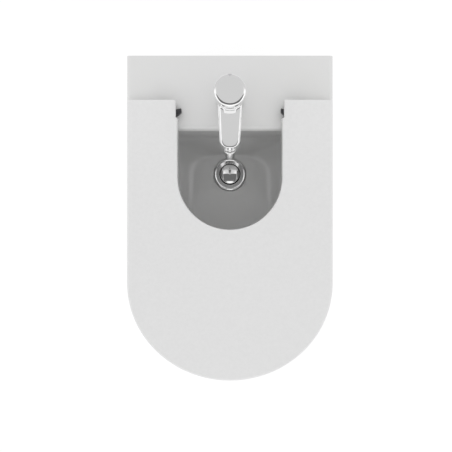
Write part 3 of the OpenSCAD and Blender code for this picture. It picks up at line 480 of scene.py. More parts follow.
def threaded(x, y, low, high):
    """A threaded rod: ridges along its length, and a chamfer at each end."""
    r, deep = THREAD_R, 0.55 * THREAD_PITCH
    count = round((high - low - 2) / THREAD_PITCH)
    step = (high - low - 2) / count
    ridges = [(r - deep * (i % 2), low + 1 + step * i / 2) for i in range(2 * count + 1)]
    profile = [(0, low), (r - 0.8, low)] + ridges + [(r - 0.8, high), (0, high)]
    return turned(profile, Matrix.Translation((x, y, 0)), 32)


# Ceramic body

SIDE_STEPS = 24
ARC_STEPS = 72
CORNER_STEPS = 8
REAR_STEPS = 6


def open_outline(half):
    """The body's outline at a half width, from the rear right round the front to the rear left."""
    side = [(half, REAR_Y + (ARC_Y - REAR_Y) * i / SIDE_STEPS) for i in range(SIDE_STEPS)]
    nose = [(x, ARC_Y + NOSE * y) for x, y in arc(0, 0, half, 0, -180, ARC_STEPS)]
    return side + nose + [(-x, y) for x, y in reversed(side)]


def bowl_outline(half, back, corner):
    """The bowl's outline, from the middle of its rear wall by the right side, the front and the left side."""
    rear = [((half - corner) * i / REAR_STEPS, back) for i in range(REAR_STEPS)]
    turn = arc(half - corner, back - corner, corner, 90, 0, CORNER_STEPS)
    start = back - corner
    side = [(half, start + (ARC_Y - back + corner) * i / SIDE_STEPS) for i in range(1, SIDE_STEPS)]
    nose = [(x, ARC_Y + NOSE * y) for x, y in arc(0, 0, half, 0, -180, ARC_STEPS)]
    right = rear + turn + side
    return right + nose + [(-x, y) for x, y in reversed(right)]


def round_outline(r, y, like):
    """A circle with as many points as another outline, from the rear by the right."""
    return arc(0, y, r, 90, -270, len(like) - 1)


def between(one, other, share):
    """An outline part of the way from one outline to another."""
    return [(a + (c - a) * share, b + (d - b) * share) for (a, b), (c, d) in zip(one, other)]


def side_r(z):
    """Half the body's width at a height: upright at the foot and the rim, a smooth flare between them."""
    way = min(1, max(0, (z - FOOT_Z) / (FLARE_Z - FOOT_Z)))
    return FOOT_R + (RIM_R - FOOT_R) * way * way * (3 - 2 * way)


def floor_z(y):
    """The bowl's floor, level round the waste and rising to the front."""
    ahead = WASTE_Y - FLOOR_TURN - y
    rise = FLOOR_RISE * (ahead + math.hypot(ahead, FLOOR_BLEND)) / 2
    return BOWL_Z + rise / (WASTE_Y - FLOOR_TURN + REAR_Y)


def settled(points, z, drop=0):
    """A row of the bowl, lifted with a soft turn where it would pass under the floor."""
    row = []
    for x, y in points:
        base = floor_z(y) - drop
        near = max(0, SIDE_BLEND - abs(z - base)) / SIDE_BLEND
        row.append((x, y, max(z, base) + near * near * SIDE_BLEND / 4))
    return row


def bowl_row(z, grow):
    """The bowl's outline at a height, grown outwards."""
    deep = max(0, RIM_Z - z - BACK_UPRIGHT) / (BOWL_DEPTH - BACK_UPRIGHT)
    back = BOWL_Y - BACK_LEAN * min(1, deep) ** 2.2
    if z >= BOWL_TURN:
        half = BOWL_R - BOWL_DRAFT * min(1, (RIM_Z - BOWL_LIP - z) / (RIM_Z - BOWL_LIP - BOWL_TURN))
    else:
        fall = (BOWL_TURN - z) / (BOWL_TURN - BOWL_Z + 2)
        half = BOWL_FLAT + (BOWL_R - BOWL_DRAFT - BOWL_FLAT) * math.sqrt(max(0, 1 - fall * fall))
    return bowl_outline(half + grow, back + grow, min(BOWL_CORNER + grow, 0.8 * half))


def bowl_rows():
    """The bowl from its rim down to the waste, and its outside from the waste's boss up to the deck."""
    rows = []
    for away, z in [(BOWL_LIP + 2, 0)] + arc(BOWL_LIP, -BOWL_LIP, BOWL_LIP, 90, 180, 8):
        rows.append(level(bowl_row(RIM_Z - BOWL_LIP, away), RIM_Z + z))
    walls = [RIM_Z - BOWL_LIP - (RIM_Z - BOWL_LIP - BOWL_TURN) * i / 5 for i in range(1, 6)]
    turn = [BOWL_TURN - (BOWL_TURN - BOWL_Z + 2) * math.sin(math.radians(6 * i)) for i in range(1, 16)]
    rows += [settled(bowl_row(z, 0), z) for z in walls + turn]
    bottom = bowl_row(turn[-1], 0)
    waste = round_outline(SEAT_R + 0.6, WASTE_Y, bottom)
    for share in (0.2, 0.4, 0.6, 0.75, 0.87, 0.95, 1):
        rows.append(settled(between(bottom, waste, share), 0))
    for r, z in ((SEAT_R, -0.5), (SEAT_R, -2), (WASTE_R + 0.5, -2), (WASTE_R, -2.5), (WASTE_R, -38)):
        rows.append(level(round_outline(r, WASTE_Y, bottom), BOWL_Z + z))
    for r, z in ((WASTE_R + 1, BOSS_Z), (BOSS_R - 2, BOSS_Z), (BOSS_R, BOSS_Z + 2), (BOSS_R, BOWL_Z - 14)):
        rows.append(level(round_outline(r, WASTE_Y, bottom), z))
    outer = round_outline(BOSS_R + 2, WASTE_Y, bottom)
    below = bowl_row(BOWL_Z - 2, WALL)
    for share in (0, 0.3, 0.6, 0.85):
        rows.append(settled(between(outer, below, share), 0, WALL))
    rows += [settled(bowl_row(z, WALL), z, WALL) for z in reversed(turn[4::2])]
    rows += [level(bowl_row(z, WALL), z) for z in (BOWL_TURN, BOWL_TURN + 30, UNDER_Z - 6, UNDER_Z)]
    return rows


def edge_loop(bm, chosen):
    """The open edges whose ends are all chosen."""
    return [e for e in bm.edges if len(e.link_faces) < 2 and all(chosen(v.co) for v in e.verts)]


def fill(bm, chosen):
    """Closes the openings among chosen points with flat faces."""
    bmesh.ops.triangle_fill(bm, use_beauty=True, use_dissolve=False, edges=edge_loop(bm, chosen))


def china_body():
    """The body: one glazed skin outside, over the rim and down the bowl, and one inside."""
    bm = bmesh.new()
    foot = arc(FOOT_R - 2, 2, 2, -90, 0, 3) + [(FOOT_R, 25), (FOOT_R, 45)]
    flare = [FOOT_Z + (FLARE_Z - FOOT_Z) * i / 24 for i in range(25)]
    rim = arc(RIM_R - RIM_ROUND, RIM_Z - RIM_ROUND, RIM_ROUND, 0, 90, 8)
    outside = foot + [(side_r(z), z) for z in flare] + [(RIM_R, RIM_Z - 38)] + rim + [(rim[-1][0] - 2, RIM_Z)]
    inside = [(FOOT_R - WALL, 0)]
    inside += [(side_r(z) - WALL, z) for z in flare[::2]] + [(RIM_R - WALL, UNDER_Z)]
    sheet(bm, [level(open_outline(r), z) for r, z in outside])
    sheet(bm, [level(open_outline(r), z) for r, z in inside])
    sheet(bm, [level(open_outline(r), z) for r, z in (outside[0], inside[0])])
    sheet(bm, bowl_rows())
    # Rear edge of the deck, the tap's hole and the hinges' holes
    for_rear = ((outside[-1][0], RIM_Z), (inside[-1][0], UNDER_Z))
    sheet(bm, [[(x * (1 - i / 6), REAR_Y, z) for i in range(13)] for x, z in for_rear])
    for x, y, r in ((0, HOLE_Y, HOLE_R), (STUD_X, STUD_Y, STUD_HOLE_R), (-STUD_X, STUD_Y, STUD_HOLE_R)):
        hole = [(r + 0.8, RIM_Z), (r, RIM_Z - 0.8), (r, UNDER_Z)]
        sheet(bm, [level(arc(x, y, r, 0, 360, 48), z) for r, z in hole])
    bmesh.ops.remove_doubles(bm, verts=bm.verts[:], dist=0.01)
    fill(bm, lambda p: abs(p.z - RIM_Z) < 0.01)
    fill(bm, lambda p: abs(p.z - UNDER_Z) < 0.01)
    for side in (-1, 1):
        fill(bm, lambda p: abs(p.y - REAR_Y) < 0.01 and p.x * side > 0)
    bmesh.ops.recalc_face_normals(bm, faces=bm.faces[:])
    return bm


def passage(near, far, grow):
    """The overflow passage's outline in Y and Z, behind the bowl's rear wall."""
    top = RIM_Z - 31 + grow
    low, high = BOWL_Z - 29 - grow, BOWL_Z - 14 + grow
    front = [(BOWL_Y + y + near, RIM_Z - deep) for y, deep in reversed(BACK_LINE)]
    back = [(BOWL_Y + y + far, RIM_Z - deep) for y, deep in BACK_LINE]
    foot = [(back[-1][0], low), (WASTE_Y, low), (WASTE_Y, high), (front[0][0], high)]
    return [(BOWL_Y + near, top), (BOWL_Y + far, top)] + back + foot + front


# Cover


def cover_outline(away):
    """The cover's outline, moved inwards, from the rear right corner round the front and by the cut-out."""
    half, rear, corner = COVER_R - away, COVER_Y - away, max(0.4, 2.5 - away)
    cut, step = CUT_R + away, CUT_R + 3 + away
    relief = RELIEF_Y - away
    side = [(half, rear - corner + (COVER_ARC_Y - rear + corner) * i / 12) for i in range(1, 12)]
    nose = [(x, COVER_ARC_Y + COVER_NOSE_RATIO * y) for x, y in arc(0, 0, half, 0, -180, ARC_STEPS)]
    # Beside the hinges the cut-out is wider, and an S-shaped bend leads there
    bend = [(step - 1.5 - 1.5 * math.cos(math.pi * i / 4), relief - 1.2 + 0.5 * i) for i in range(5)]
    inner = arc(step + corner, rear - corner, corner, 90, 180, 4)
    inner += [(step, relief + 3 - i / 2) for i in range(3)] + bend[::-1]
    inner += [(cut, relief + (CUT_Y - relief) * i / 12) for i in range(1, 12)]
    right = arc(half - corner, rear - corner, corner, 90, 0, 4) + side
    cut_arc = arc(0, CUT_Y, cut, 180, 360, 60)
    left = [(-x, y) for x, y in reversed(right)]
    back = [(-x, y) for x, y in inner] + cut_arc + inner[::-1]
    return right + nose + left + back + right[:1]


def moulded_cover():
    """The cover: a thin shell with rounded edges, cut away for the tap, the deck and the hinges."""
    bm = bmesh.new()
    low, high = COVER_LOW.z, COVER_HIGH.z
    ceiling = high - COVER_WALL
    wall = [(4, ceiling), (4, low + 0.5), (3.5, low), (0.5, low), (0, low + 0.5), (0, low + 10)]
    edge = arc(COVER_ROUND, high - COVER_ROUND, COVER_ROUND, 180, 90, 6)
    rows = wall + edge + [(4.5, high)]
    sheet(bm, [level(cover_outline(away), z) for away, z in rows])
    bmesh.ops.remove_doubles(bm, verts=bm.verts[:], dist=0.01)
    fill(bm, lambda p: abs(p.z - high) < 0.01)
    fill(bm, lambda p: abs(p.z - ceiling) < 0.01)
    bmesh.ops.recalc_face_normals(bm, faces=bm.faces[:])
    bm = joined(bm, block(RIM_R, COVER_Y - 8, COVER_Y + 1, low - 1, RIM_Z + 8), "DIFFERENCE")
    for side in (-1, 1):
        near, far = side * (CUT_R - 1), side * (HINGE_X + 17)
        rear = COVER_Y + 1
        room = level([(near, RELIEF_Y), (far, RELIEF_Y), (far, rear), (near, rear)], low - 1)
        bm = joined(bm, slab(room, (0, 0, ceiling - low + 1)), "DIFFERENCE")
    return bm


# Tap

CASTING_PASSES = 7


def tongue(half, flare, length, low, high):
    """A bar from the tap's axis to the front, a little wider at the axis, with round corners at its tip."""
    tip, corner = TAP_Y - length, TIP_CORNER
    right = arc(half - corner, tip + corner, corner, 0, -90, 10)
    left = [(-x, y) for x, y in right[::-1]]
    outline = [(half + flare, TAP_Y)] + right + left + [(-half - flare, TAP_Y)]
    return slab(level(outline, low), (0, 0, high - low))


def tap_casting(grain):
    """The tap's body: a column, the spout and the rear guide of the lift rod, cast in one and bored."""
    tip, low, base, bore_z = TAP_Y - SPOUT_LEN, NOZZLE_Z - 12.7, TAP_LOW.z, TAP_TOP - 46
    # The spout's face is square to the nozzle: its places in Y and Z add up to this
    face = NOZZLE_Y + NOZZLE_Z - 4 * math.sqrt(2) + 0.3
    at_axis = Matrix.Translation((0, TAP_Y, 0))
    column = [(0, base), (COLUMN_R - 1.5, base), (COLUMN_R, TAP_TOP), (0, TAP_TOP)]
    side = [(TAP_Y, TAP_TOP), (tip + 4, TAP_TOP), (tip, TAP_TOP - 4), (tip, face - tip), (face - low, low)]
    side += [(TAP_Y - 52, TAP_TOP - 34), (TAP_Y - 18, bore_z + 2), (TAP_Y, bore_z)]
    spout = tongue(SPOUT_HALF, 3.8, SPOUT_LEN, RIM_Z, TAP_TOP + 1)
    spout = joined(across(side, COLUMN_R), spout, "INTERSECT")
    lean = math.tan(ROD_LEAN)
    guide = bar((0, ROD_Y + 6 * lean, RIM_Z + 6), (0, ROD_Y + 40 * lean, RIM_Z + 40), 5.5)
    web = [(TAP_Y, base), (ROD_Y + 1, base), (ROD_Y + 40 * math.sin(ROD_LEAN), RIM_Z + 37)]
    web = across(web + [(TAP_Y, RIM_Z + 48)], 2.5)
    bm = cast(together(turned(column, at_axis), spout, guide, web), grain, CASTING_PASSES)
    ball, behind = Vector((0, NOZZLE_Y, NOZZLE_Z)), Vector((0, 1, 1)) * 7.07
    cuts = [
        bar((0, TAP_Y, bore_z), (0, TAP_Y, TAP_TOP + 5), CARTRIDGE_R + FIT, 64),
        bar(ball + behind, (0, NOZZLE_Y - 40, NOZZLE_Z - 40), COLLAR_R + FIT, 64),
        bar((0, ROD_Y - 10 * lean, RIM_Z - 10), (0, ROD_Y + 60 * lean, RIM_Z + 60), ROD_R + FIT),
    ]
    for x, y, r in ((0, TAP_STUD_Y, THREAD_R), (INLET_X, INLET_Y, INLET_R), (-INLET_X, INLET_Y, INLET_R)):
        cuts.append(bar((x, y, base + 12), (x, y, base - 20), r + FIT))
    for cut in cuts:
        bm = joined(bm, cut, "DIFFERENCE")
    return bm


def handle_casting(grain):
    """The handle: a cap and a tapering lever with a hollow between them, over a ball-shaped cavity."""
    low, top, r = CAP_LOW.z, CAP_HIGH.z, CAP_R
    at_axis = Matrix.Translation((0, TAP_Y, 0))
    # The cap's upper edge is a quarter of a flat ellipse, and its underside slopes
    brim = [(r - 5 * (1 - x), top - 2.4 * (1 - z)) for x, z in arc(0, 0, 1, 0, 90, 12)]
    cap = turned([(0, low), (r, low)] + brim + [(0, top)], at_axis)
    slope = math.tan(math.radians(12))
    front, rear = TAP_Y - r - 10, TAP_Y + r + 10
    under = [(front, low - 10 * slope), (rear, low + (2 * r + 10) * slope)]
    under += [(rear, low - 10), (front, low - 10)]
    cap = joined(cap, across(under, 40), "DIFFERENCE")

    def upper(edge):
        return all(v.co.z > low + 6 for v in edge.verts) and edge.verts[0].co.y < TAP_Y - 1

    lever = soften(tongue(LEVER_HALF, 3, LEVER_LEN, low, low + 7), 4.0, 6, chosen=upper)
    # The lever's top runs flat almost to its tip
    for vert in lever.verts:
        ahead, high = (TAP_Y - LEVER_LEN + 17 - vert.co.y) / 13, (vert.co.z - low - 3) / 4
        vert.co.y -= 2.6 * min(1, max(0, ahead)) * min(1, max(0, high))
    lever = joined(lever, bar((0, TAP_Y, low - 1), (0, TAP_Y, low + 9), r - 6), "DIFFERENCE")
    hollow = [(r - 2, low + 12), (r - 2, low + 4.4), (r + 1.5, low + 4.4), (r + 4.5, low + 5.6)]
    hollow = turned(hollow + [(r + 6.5, low + 7.2), (r + 6.5, low + 12)], at_axis)
    hollow = joined(hollow, block(9.5, TAP_Y - r - 9, TAP_Y, low, low + 20), "INTERSECT")
    bm = cast(together(cap, joined(lever, hollow, "DIFFERENCE")), grain, CASTING_PASSES)
    # Cavity over the dome, socket of the stem, and the hole of the grub screw with its wider mouth
    ball = [(0, -DOME_R)] + arc(0, 0, DOME_R, -90, 90, 36)[1:-1] + [(0, DOME_R)]
    bm = joined(bm, turned(ball, Matrix.Translation((0, TAP_Y, PIVOT_Z))), "DIFFERENCE")
    half = STEM_HALF + FIT
    bm = joined(bm, block(half, TAP_Y - half, TAP_Y + half, TAP_TOP, top - 9.7), "DIFFERENCE")
    dip, round_r = math.radians(30), 5.3
    reach = r - round_r + round_r * math.cos(dip) - STEM_HALF
    screw_z = top - round_r + round_r * math.sin(dip) - reach * math.tan(dip)
    way = Vector((0, math.cos(dip), math.sin(dip)))
    start, run = Vector((0, TAP_Y + STEM_HALF, screw_z)), reach / math.cos(dip)
    bm = joined(bm, bar(start - way * 2, start + way * (run + 6), SCREW_R + FIT), "DIFFERENCE")
    mouth = bar(start + way * (run - 4), start + way * (run + 8), SCREW_MOUTH_R + FIT)
    return joined(bm, mouth, "DIFFERENCE")


# Settings


class BidetSizes(bpy.types.PropertyGroup):
    """Sizes that a user would change."""

    lens: bpy.props.FloatProperty(
        name="Lens",
        description="Focal length of the camera",
        default=60.0,
        unit="CAMERA",
    )
    camera_up: bpy.props.FloatProperty(
        name="Camera height",
        description="Height of the camera above the floor",
        default=1.678,
        unit="LENGTH",
    )
    casting_grain: bpy.props.FloatProperty(
        name="Casting grain",
        description="Size of the cells that the tap's castings are run from, in millimetres",
        default=0.75,
    )


class BidetColours(bpy.types.PropertyGroup):
    """Colours of the finishes, as sRGB hex values."""

    china: bpy.props.StringProperty(
        name="China",
        description="Colour of the glazed china",
        default="#F0F0F0",
    )
    cover: bpy.props.StringProperty(
        name="Cover",
        description="Colour of the moulded cover",
        default="#F5F5F5",
    )
    chrome: bpy.props.StringProperty(
        name="Chrome",
        description="Colour of the chromium plate",
        default="#EDEDED",
    )
    hinge: bpy.props.StringProperty(
        name="Hinges",
        description="Colour of the hinges' plate",
        default="#5E5E60",
    )


# Finishes


class BIDET_OT_finishes(bpy.types.Operator):
    """Makes the materials that the pieces wear"""

    bl_idname = "bidet.finishes"
    bl_label = "Finishes"

    def execute(self, context):
        colours = context.scene.bidet_colours
        even, drawn = (1, 1, 1), (1, 1, 12)
        # Vitreous china, sprayed with a white glaze and fired: a deep wet gloss, faintly rippled where the
        # glaze ran, with a breath of warmer white where it lies thin
        ripples = [(140, even, 0, 0, "#EDEDEC"), (38, even, 0.015, 22, None), (9, even, 0.008, 2.2, None)]
        material("vitreous_china", colours.china, 0.0, 0.06, ripples, 1.52)
        # Urea resin, pressed in a polished mould: hard and glossy, softer in its shine than the glaze
        pressed = [(90, even, 0.02, 30, None), (5, even, 0.02, 1.0, "#F2F2F2")]
        pressed += [(1.2, even, 0.01, 0.5, None)]
        material("cover_plastic", colours.cover, 0.0, 0.16, pressed, 1.6)
        # Chromium plate on polished brass: a mirror, with the buffing wheel's faint waves and hairlines
        buffed = [(16, even, 0.006, 3.0, None), (0.9, (1, 1, 9), 0.014, 0.15, None)]
        material("chrome", colours.chrome, 1.0, 0.05, buffed)
        # Zinc die casting under a dark satin plate, a fine skin of grain
        grains = [(7, even, 0.05, 4, None), (0.8, even, 0.05, 3, "#525254")]
        material("hinge_metal", colours.hinge, 1.0, 0.32, grains)
        # Zinc-plated steel: grey, streaked by drawing and turning, with duller patches
        streaks = [(14, even, 0.08, 0, "#8C8D90"), (0.7, drawn, 0.06, 3, None)]
        material("steel", "#A9AAAD", 1.0, 0.34, streaks)
        # Turned brass, unplated: yellow, fine tool rings, browner where it has been handled
        rings = [(11, even, 0.07, 0, "#B08A48"), (0.6, (12, 12, 1), 0.05, 3, None)]
        material("brass", "#C9A45C", 1.0, 0.28, rings)
        # EPDM rubber, moulded: black and dull, with the bloom of a fine matt mould
        bloom = [(6, even, 0.06, 12, "#262626"), (0.6, even, 0.05, 9, None)]
        material("black_rubber", "#1D1D1D", 0.0, 0.68, bloom)
        # Silicone rubber: grey, with a dull silky skin
        silk = [(5, even, 0.05, 8, "#BABBBD"), (0.7, even, 0.04, 5, None)]
        material("grey_rubber", "#C4C5C6", 0.0, 0.5, silk)
        # Polypropylene, injection moulded: white, waxy, faintly pitted
        wax = [(20, even, 0.05, 15, "#E2E2DE"), (0.9, even, 0.03, 4, None)]
        material("white_plastic", "#E9E9E6", 0.0, 0.38, wax)
        # Acetal, injection moulded: light grey, slippery half gloss
        slip = [(15, even, 0.05, 12, "#B9BABC"), (0.8, even, 0.04, 4, None)]
        material("grey_plastic", "#C2C3C5", 0.0, 0.4, slip)
        return {"FINISHED"}


# Pieces


class BIDET_OT_china(bpy.types.Operator):
    """Ceramic body with its bowl, overflow passage and holes"""

    bl_idname = "bidet.china"
    bl_label = "Ceramic body"

    def execute(self, context):
        outer = passage(WALL - 3, WALL + PASSAGE_DEEP + PASSAGE_WALL, PASSAGE_WALL)
        outer = soften(across(outer, PASSAGE_HALF + PASSAGE_WALL), 5, 3)
        body = joined(china_body(), outer, "UNION")
        cuts = [
            bar((0, WASTE_Y, BOSS_Z - 12), (0, WASTE_Y, BOWL_Z - 2.2), WASTE_R + 0.1, 64),
            across(passage(WALL, WALL + PASSAGE_DEEP, 0), PASSAGE_HALF),
            bar((0, BOWL_Y - 3, OVERFLOW_Z), (0, BOWL_Y + 17, OVERFLOW_Z), OVERFLOW_R),
        ]
        for deep, r in ((12, SIDE_HOLE_R), (3.5, SIDE_HEAD_R)):
            for side in (1, -1):
                mouth, end = side * (FOOT_R + 1), side * (FOOT_R - deep)
                cuts.append(bar((mouth, SIDE_HOLE_Y, SIDE_HOLE_Z), (end, SIDE_HOLE_Y, SIDE_HOLE_Z), r))
        for cut in cuts:
            body = joined(body, cut, "DIFFERENCE")
        keep(body, "ceramic_body", sharp=40)
        return {"FINISHED"}


class BIDET_OT_cover(bpy.types.Operator):
    """Cover with its cut-out, and the buffers that it rests on"""

    bl_idname = "bidet.cover"
    bl_label = "Cover"

    def execute(self, context):
        keep(moulded_cover(), "cover", sharp=40)
        dressed("cover_buffers", edge=0.8)
        return {"FINISHED"}


class BIDET_OT_hinges(bpy.types.Operator):
    """Hinges: bases with their toes, arms, pins and screws, and what holds them under the deck"""

    bl_idname = "bidet.hinges"
    bl_label = "Hinges"

    def execute(self, context):
        dressed("hinge_arm_left", "hinge_arm_right", edge=0.7)
        for node in ("hinge_base_left", "hinge_base_right"):
            base = solid_copy(node)
            # The toe that shows beside the cover: a little further back, and pointed
            for vert in base.verts:
                if abs(vert.co.x) < CUT_R + 2.5 and vert.co.y < HINGE_Y - 2:
                    vert.co.y = HINGE_Y - 2 + 0.85 * (vert.co.y - HINGE_Y + 4)
                    vert.co.x += math.copysign(1.5, vert.co.x)
            keep(soften(base, 0.7), node)
        dressed("hinge_pins", "hinge_arm_screws", "hinge_rubber_washers", edge=0.4)
        dressed("hinge_wing_nuts", edge=0.8)
        studs = [threaded(side * STUD_X, STUD_Y, UNDER_Z - 34, RIM_Z + 3.8) for side in (-1, 1)]
        keep(together(*studs), "hinge_studs", sharp=60)
        return {"FINISHED"}


class BIDET_OT_tap(bpy.types.Operator):
    """Tap's body and spout, its base ring and gasket, and the dome under the handle"""

    bl_idname = "bidet.tap"
    bl_label = "Tap"

    def execute(self, context):
        keep(tap_casting(context.scene.bidet_sizes.casting_grain), "tap_body", sharp=50)
        dressed("tap_base_ring", edge=1.2)
        dressed("tap_gasket", "dome_ring")
        return {"FINISHED"}


class BIDET_OT_nozzle(bpy.types.Operator):
    """Swivel nozzle in its collar, with its seat and aerator"""

    bl_idname = "bidet.nozzle"
    bl_label = "Nozzle"

    def execute(self, context):
        place = Matrix.Translation((0, NOZZLE_Y, NOZZLE_Z)) @ Matrix.Rotation(math.radians(135), 4, "X")
        collar = [(9.1, -9), (COLLAR_R, -9), (COLLAR_R, 4)] + arc(10.7, 4.6, 0.6, -90, 0, 3)
        collar += arc(10.0, 5.7, 1.3, 0, 90, 6) + [(8.3, 7), (7.0, 5.4), (9.1, 0.6)]
        keep(turned(collar, place), "nozzle_collar")
        neck, barrel, end = 6.0, 10.4, 24.3
        # The ball, the neck and the tapering barrel
        outside = arc(0, 0, 9, -33, 48.2, 16) + [(neck, 7.6), (neck, barrel - 1)]
        outside += arc(8.7, barrel + 1.2, 1.4, -60, 0, 5) + [(10.1, barrel + 2.2), (8.4, end - 1)]
        outside += arc(7.7, end - 0.6, 0.6, 0, 90, 4)
        inside = [(7.0, end), (7.0, end - 8), (4, end - 8), (4, -4.9)]
        keep(turned(outside + inside, place), "nozzle")
        dressed("nozzle_seat", "nozzle_aerator", edge=0.25)
        return {"FINISHED"}


class BIDET_OT_handle(bpy.types.Operator):
    """Handle with its screw and index plug"""

    bl_idname = "bidet.handle"
    bl_label = "Handle"

    def execute(self, context):
        keep(handle_casting(context.scene.bidet_sizes.casting_grain), "handle", sharp=50)
        dressed("handle_grub_screw", "index_plug", edge=0.25)
        return {"FINISHED"}


class BIDET_OT_cartridge(bpy.types.Operator):
    """Cartridge with its nut, turret, stem and pin"""

    bl_idname = "bidet.cartridge"
    bl_label = "Cartridge"

    def execute(self, context):
        dressed("cartridge_housing", "cartridge_nut", "cartridge_turret", "cartridge_stem", "stem_pin")
        return {"FINISHED"}


class BIDET_OT_tap_fixing(bpy.types.Operator):
    """Stud, washers and nut that hold the tap to the deck, and the two water inlets"""

    bl_idname = "bidet.tap_fixing"
    bl_label = "Tap fixing"

    def execute(self, context):
        keep(threaded(0, TAP_STUD_Y, UNDER_Z - 50, RIM_Z + 17), "tap_stud", sharp=60)
        dressed("tap_rubber_washer", "tap_horseshoe_washer", "tap_stud_nut")
        dressed("water_inlets", edge=0.3)
        return {"FINISHED"}


class BIDET_OT_linkage(bpy.types.Operator):
    """Lift rod with its knob, the strap with its thumbscrew, and the pivot rod with its nut"""

    bl_idname = "bidet.linkage"
    bl_label = "Pop-up linkage"

    def execute(self, context):
        dressed("lift_rod", "lift_knob", "linkage_strap", "strap_thumbscrew", edge=0.4)
        dressed("pivot_rod", "pivot_nut", edge=0.4)
        return {"FINISHED"}


class BIDET_OT_waste(bpy.types.Operator):
    """Pop-up waste: plug, flange, seals, lock nut and tee"""

    bl_idname = "bidet.waste"
    bl_label = "Waste"

    def execute(self, context):
        at_waste = Matrix.Translation((0, WASTE_Y, 0))
        # The flange: a crown that slopes both ways, a level ring, and the tube with the plug's ledge
        top, r = FLANGE_HIGH.z, FLANGE_HIGH.x
        ledge, low = top - 8.5, FLANGE_LOW.z
        crown = arc(r - 0.7, top - 1.7, 0.7, 0, 70, 4) + [(r - 1.7, top - 0.78), (r - 3.1, top - 0.49)]
        crown += [(r - 3.3, top - 0.47), (r - 3.5, top - 0.5), (r - 4.8, top - 0.81), (r - 5.0, top - 0.84)]
        ring = [(20.7, top - 0.9)] + arc(20.5, top - 1.4, 0.5, 80, 175, 4)
        tube = [(19.5, top - 5.2), (18.8, ledge + 0.4), (18.4, ledge), (TUBE_IN, ledge), (TUBE_IN, low)]
        tube += [(TUBE_OUT, low), (TUBE_OUT, top - 2.5)]
        flange = [(r, top - 2.5)] + crown + ring + tube
        keep(turned(flange, at_waste), "waste_flange")
        # The plug's crowned head, its stem and the eye at its foot
        top, r = PLUG_HIGH.z, PLUG_HIGH.x
        crown = [(16.6 * i / 12, top - 2.0 * (i / 12) ** 2) for i in range(12, -1, -1)]
        head = [(0, top - 6.2), (r - 0.4, top - 6.2), (r, top - 5.8)]
        head += arc(r - 0.9, top - 3.0, 0.9, 0, 60, 4) + crown
        eye = solid_copy("waste_plug")
        geom = eye.verts[:] + eye.edges[:] + eye.faces[:]
        bmesh.ops.bisect_plane(eye, geom=geom, plane_co=(0, 0, top - 7), plane_no=(0, 0, 1), clear_outer=True)
        bmesh.ops.holes_fill(eye, edges=eye.edges[:])
        keep(together(turned(head, at_waste), eye), "waste_plug")
        dressed("plug_seal", "flange_seal", "waste_gasket", "waste_lock_nut", "waste_tee")
        return {"FINISHED"}


class BIDET_OT_trap(bpy.types.Operator):
    """Bottle trap with its tailpiece, nuts, outlet pipe and wall rosette"""

    bl_idname = "bidet.trap"
    bl_label = "Trap"

    def execute(self, context):
        dressed("trap_body", "trap_cup", "trap_inlet_nut", "trap_outlet_nut", "wall_rosette", edge=0.8)
        dressed("tailpiece", "trap_outlet_pipe", "overflow_ring", edge=0.4)
        return {"FINISHED"}


class BIDET_OT_floor_fixing(bpy.types.Operator):
    """Brackets on the floor, the screws through the foot and their caps"""

    bl_idname = "bidet.floor_fixing"
    bl_label = "Floor fixing"

    def execute(self, context):
        dressed("floor_brackets", "side_screws", edge=0.5)
        dressed("side_caps", edge=0.8)
        return {"FINISHED"}


# Stage


